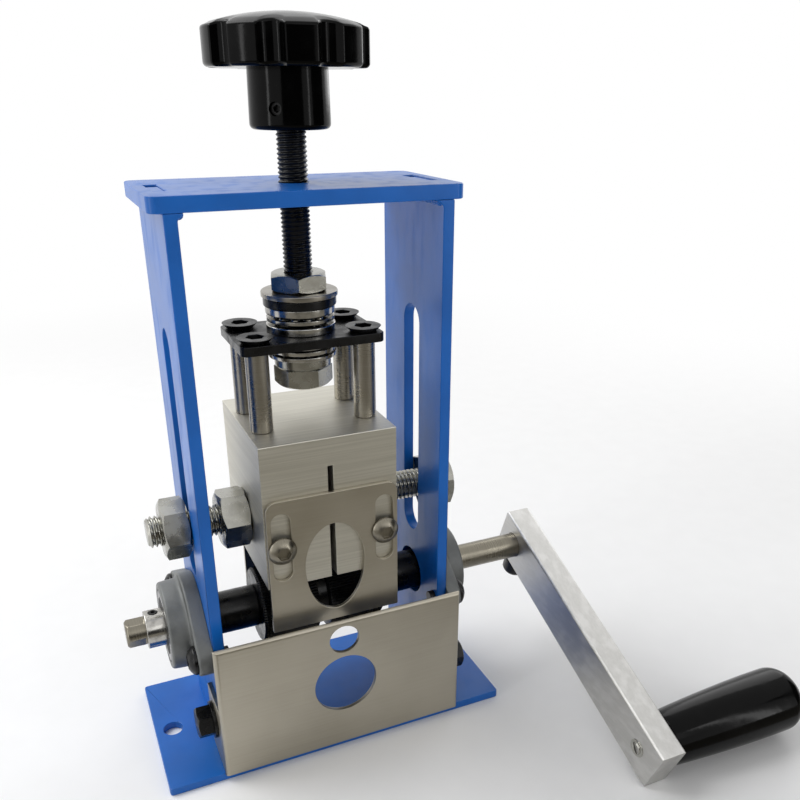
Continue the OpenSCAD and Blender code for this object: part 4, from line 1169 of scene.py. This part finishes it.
studio = {
    "floor": "f2f2f2", "floorSize": 6.0, "fadeFrom": 0.42, "fadeTo": 1.0,
    "surroundings": 0.42, "whiteSeen": 1.0,
    "lamps": {
        "key": {"at": (-0.6, 0.45, 1.15), "size": (0.9, 0.9), "watts": 12.0},
        "fill": {"at": (0.3, -1.3, 0.9), "size": (1.0, 0.6), "watts": 1.2},
        "rim": {"at": (0.9, 0.6, 0.6), "size": (0.7, 0.7), "watts": 3.0},
        "leftStrip": {"at": (-1.0, -0.25, 0.35), "size": (0.1, 0.8), "watts": 1.6},
        "rightStrip": {"at": (0.75, -0.9, 0.4), "size": (0.07, 0.8), "watts": 1.1}},
    "cards": (
        {"at": (-0.2, -1.5, 0.15), "size": (1.7, 1.1), "tone": "2f2d2b"},
        {"at": (1.2, -0.4, 0.35), "size": (1.0, 0.9), "tone": "262627"},
        {"at": (0.0, -0.95, 0.004), "size": (3.0, 1.6), "tone": "a39e92", "level": True})}
lookedAt = Vector((0.0, 0.0, 0.12))


def aim(thing, at, axis):
    thing.location = at
    thing.rotation_euler = (lookedAt - Vector(at)).to_track_quat(axis, "Y").to_euler()


def flatPiece(name, size, finish):
    x, y = size[0] / 2, size[1] / 2
    mesh = bpy.data.meshes.new(name)
    mesh.from_pydata([(-x, -y, 0), (x, -y, 0), (x, y, 0), (-x, y, 0)], [], [(0, 1, 2, 3)])
    mesh.materials.append(finish.material)
    return addObject(name, mesh)


def makeFloor(look):
    # Paper round the object that fades to plain white farther out
    paper = Finish("floorPaper", {"Roughness": 0.9, "Specular IOR Level": 0.1})
    grain = paper.noise(60, detail=2.0)
    paper.feed("Base Color", paper.blend(grain * 0.3, colour(look["floor"]), colour("ffffff")))
    across, deep = paper.axes(paper.place)[:2]
    away = paper.maths("SQRT", across * across + deep * deep)
    fade = paper.step(away, look["fadeFrom"], look["fadeTo"])
    white = paper.add("ShaderNodeEmission", {"Color": (1, 1, 1, 1), "Strength": 1.0})
    paper.show(paper.add("ShaderNodeMixShader", {0: fade, 1: paper.shader, 2: white}))
    floor = flatPiece("studioFloor", (look["floorSize"], look["floorSize"]), paper)


def makeLamp(name, look):
    data = bpy.data.lights.new(name, "AREA")
    data.shape = "RECTANGLE"
    data.size, data.size_y = look["size"]
    data.energy = look["watts"]
    aim(addObject(name, data), look["at"], "-Z")


def makeCard(name, look):
    tone = Finish(name, {"Roughness": 1.0, "Specular IOR Level": 0.0})
    cloud = tone.noise(3)
    tone.feed("Base Color", tone.blend(cloud * 0.2, colour(look["tone"]), colour("555555")))
    card = flatPiece(name, look["size"], tone)
    if look.get("level"):
        card.location = look["at"]
    else:
        aim(card, look["at"], "Z")
    for ray in ("camera", "diffuse", "shadow", "transmission"):
        setattr(card, "visible_" + ray, False)


def makeSurroundings(look):
    world = bpy.data.worlds.new("surroundings")
    bpy.context.scene.world = world
    world.use_nodes = True
    world.node_tree.nodes.clear()
    graph = Graph(world.node_tree)
    ray = graph.every("ShaderNodeLightPath")
    seen = graph.maths(
        "MINIMUM", ray["Is Camera Ray"] + ray["Is Glossy Ray"] + ray["Is Transmission Ray"], 1.0)
    strength = seen * look["whiteSeen"] + (1 - seen) * look["surroundings"]
    glow = graph.add("ShaderNodeBackground", {"Color": (1, 1, 1, 1), "Strength": strength})
    graph.add("ShaderNodeOutputWorld", {0: glow})


cameraLook = {
    "place": (-0.10213, -0.34065, 0.28959), "yaw": 24.442, "pitch": 24.491, "roll": 0.221,
    "focalPixels": 836.01, "centrePixel": (412.23, 470.78), "imagePixels": 800,
    "sensorWidth": 36.0, "nearClip": 0.01}


def makeCamera(look):
    yaw, pitch, roll = (math.radians(look[key]) for key in ("yaw", "pitch", "roll"))
    ahead = Vector((
        math.sin(yaw) * math.cos(pitch), math.cos(yaw) * math.cos(pitch), -math.sin(pitch)))
    right = Vector((math.cos(yaw), -math.sin(yaw), 0))
    up = right.cross(ahead)
    right, up = (
        right * math.cos(roll) + up * math.sin(roll), up * math.cos(roll) - right * math.sin(roll))
    data = bpy.data.cameras.new("photoCamera")
    pixels = look["imagePixels"]
    data.sensor_fit = "HORIZONTAL"
    data.sensor_width = look["sensorWidth"]
    data.lens = look["focalPixels"] / pixels * data.sensor_width
    data.shift_x = (pixels / 2 - look["centrePixel"][0]) / pixels
    data.shift_y = (look["centrePixel"][1] - pixels / 2) / pixels
    data.clip_start = look["nearClip"]
    camera = addObject("photoCamera", data)
    turn = Matrix((right, up, -ahead)).transposed().to_4x4()
    camera.matrix_world = Matrix.Translation(look["place"]) @ turn
    bpy.context.scene.camera = camera


makeFloor(studio)
for lampName, lampLook in studio["lamps"].items():
    makeLamp(lampName + "Lamp", lampLook)
for cardIndex, card in enumerate(studio["cards"]):
    makeCard("card%d" % cardIndex, card)
makeSurroundings(studio)
makeCamera(cameraLook)
bpy.context.scene.view_settings.view_transform = "Standard"
print("studio")

print("pieces done")
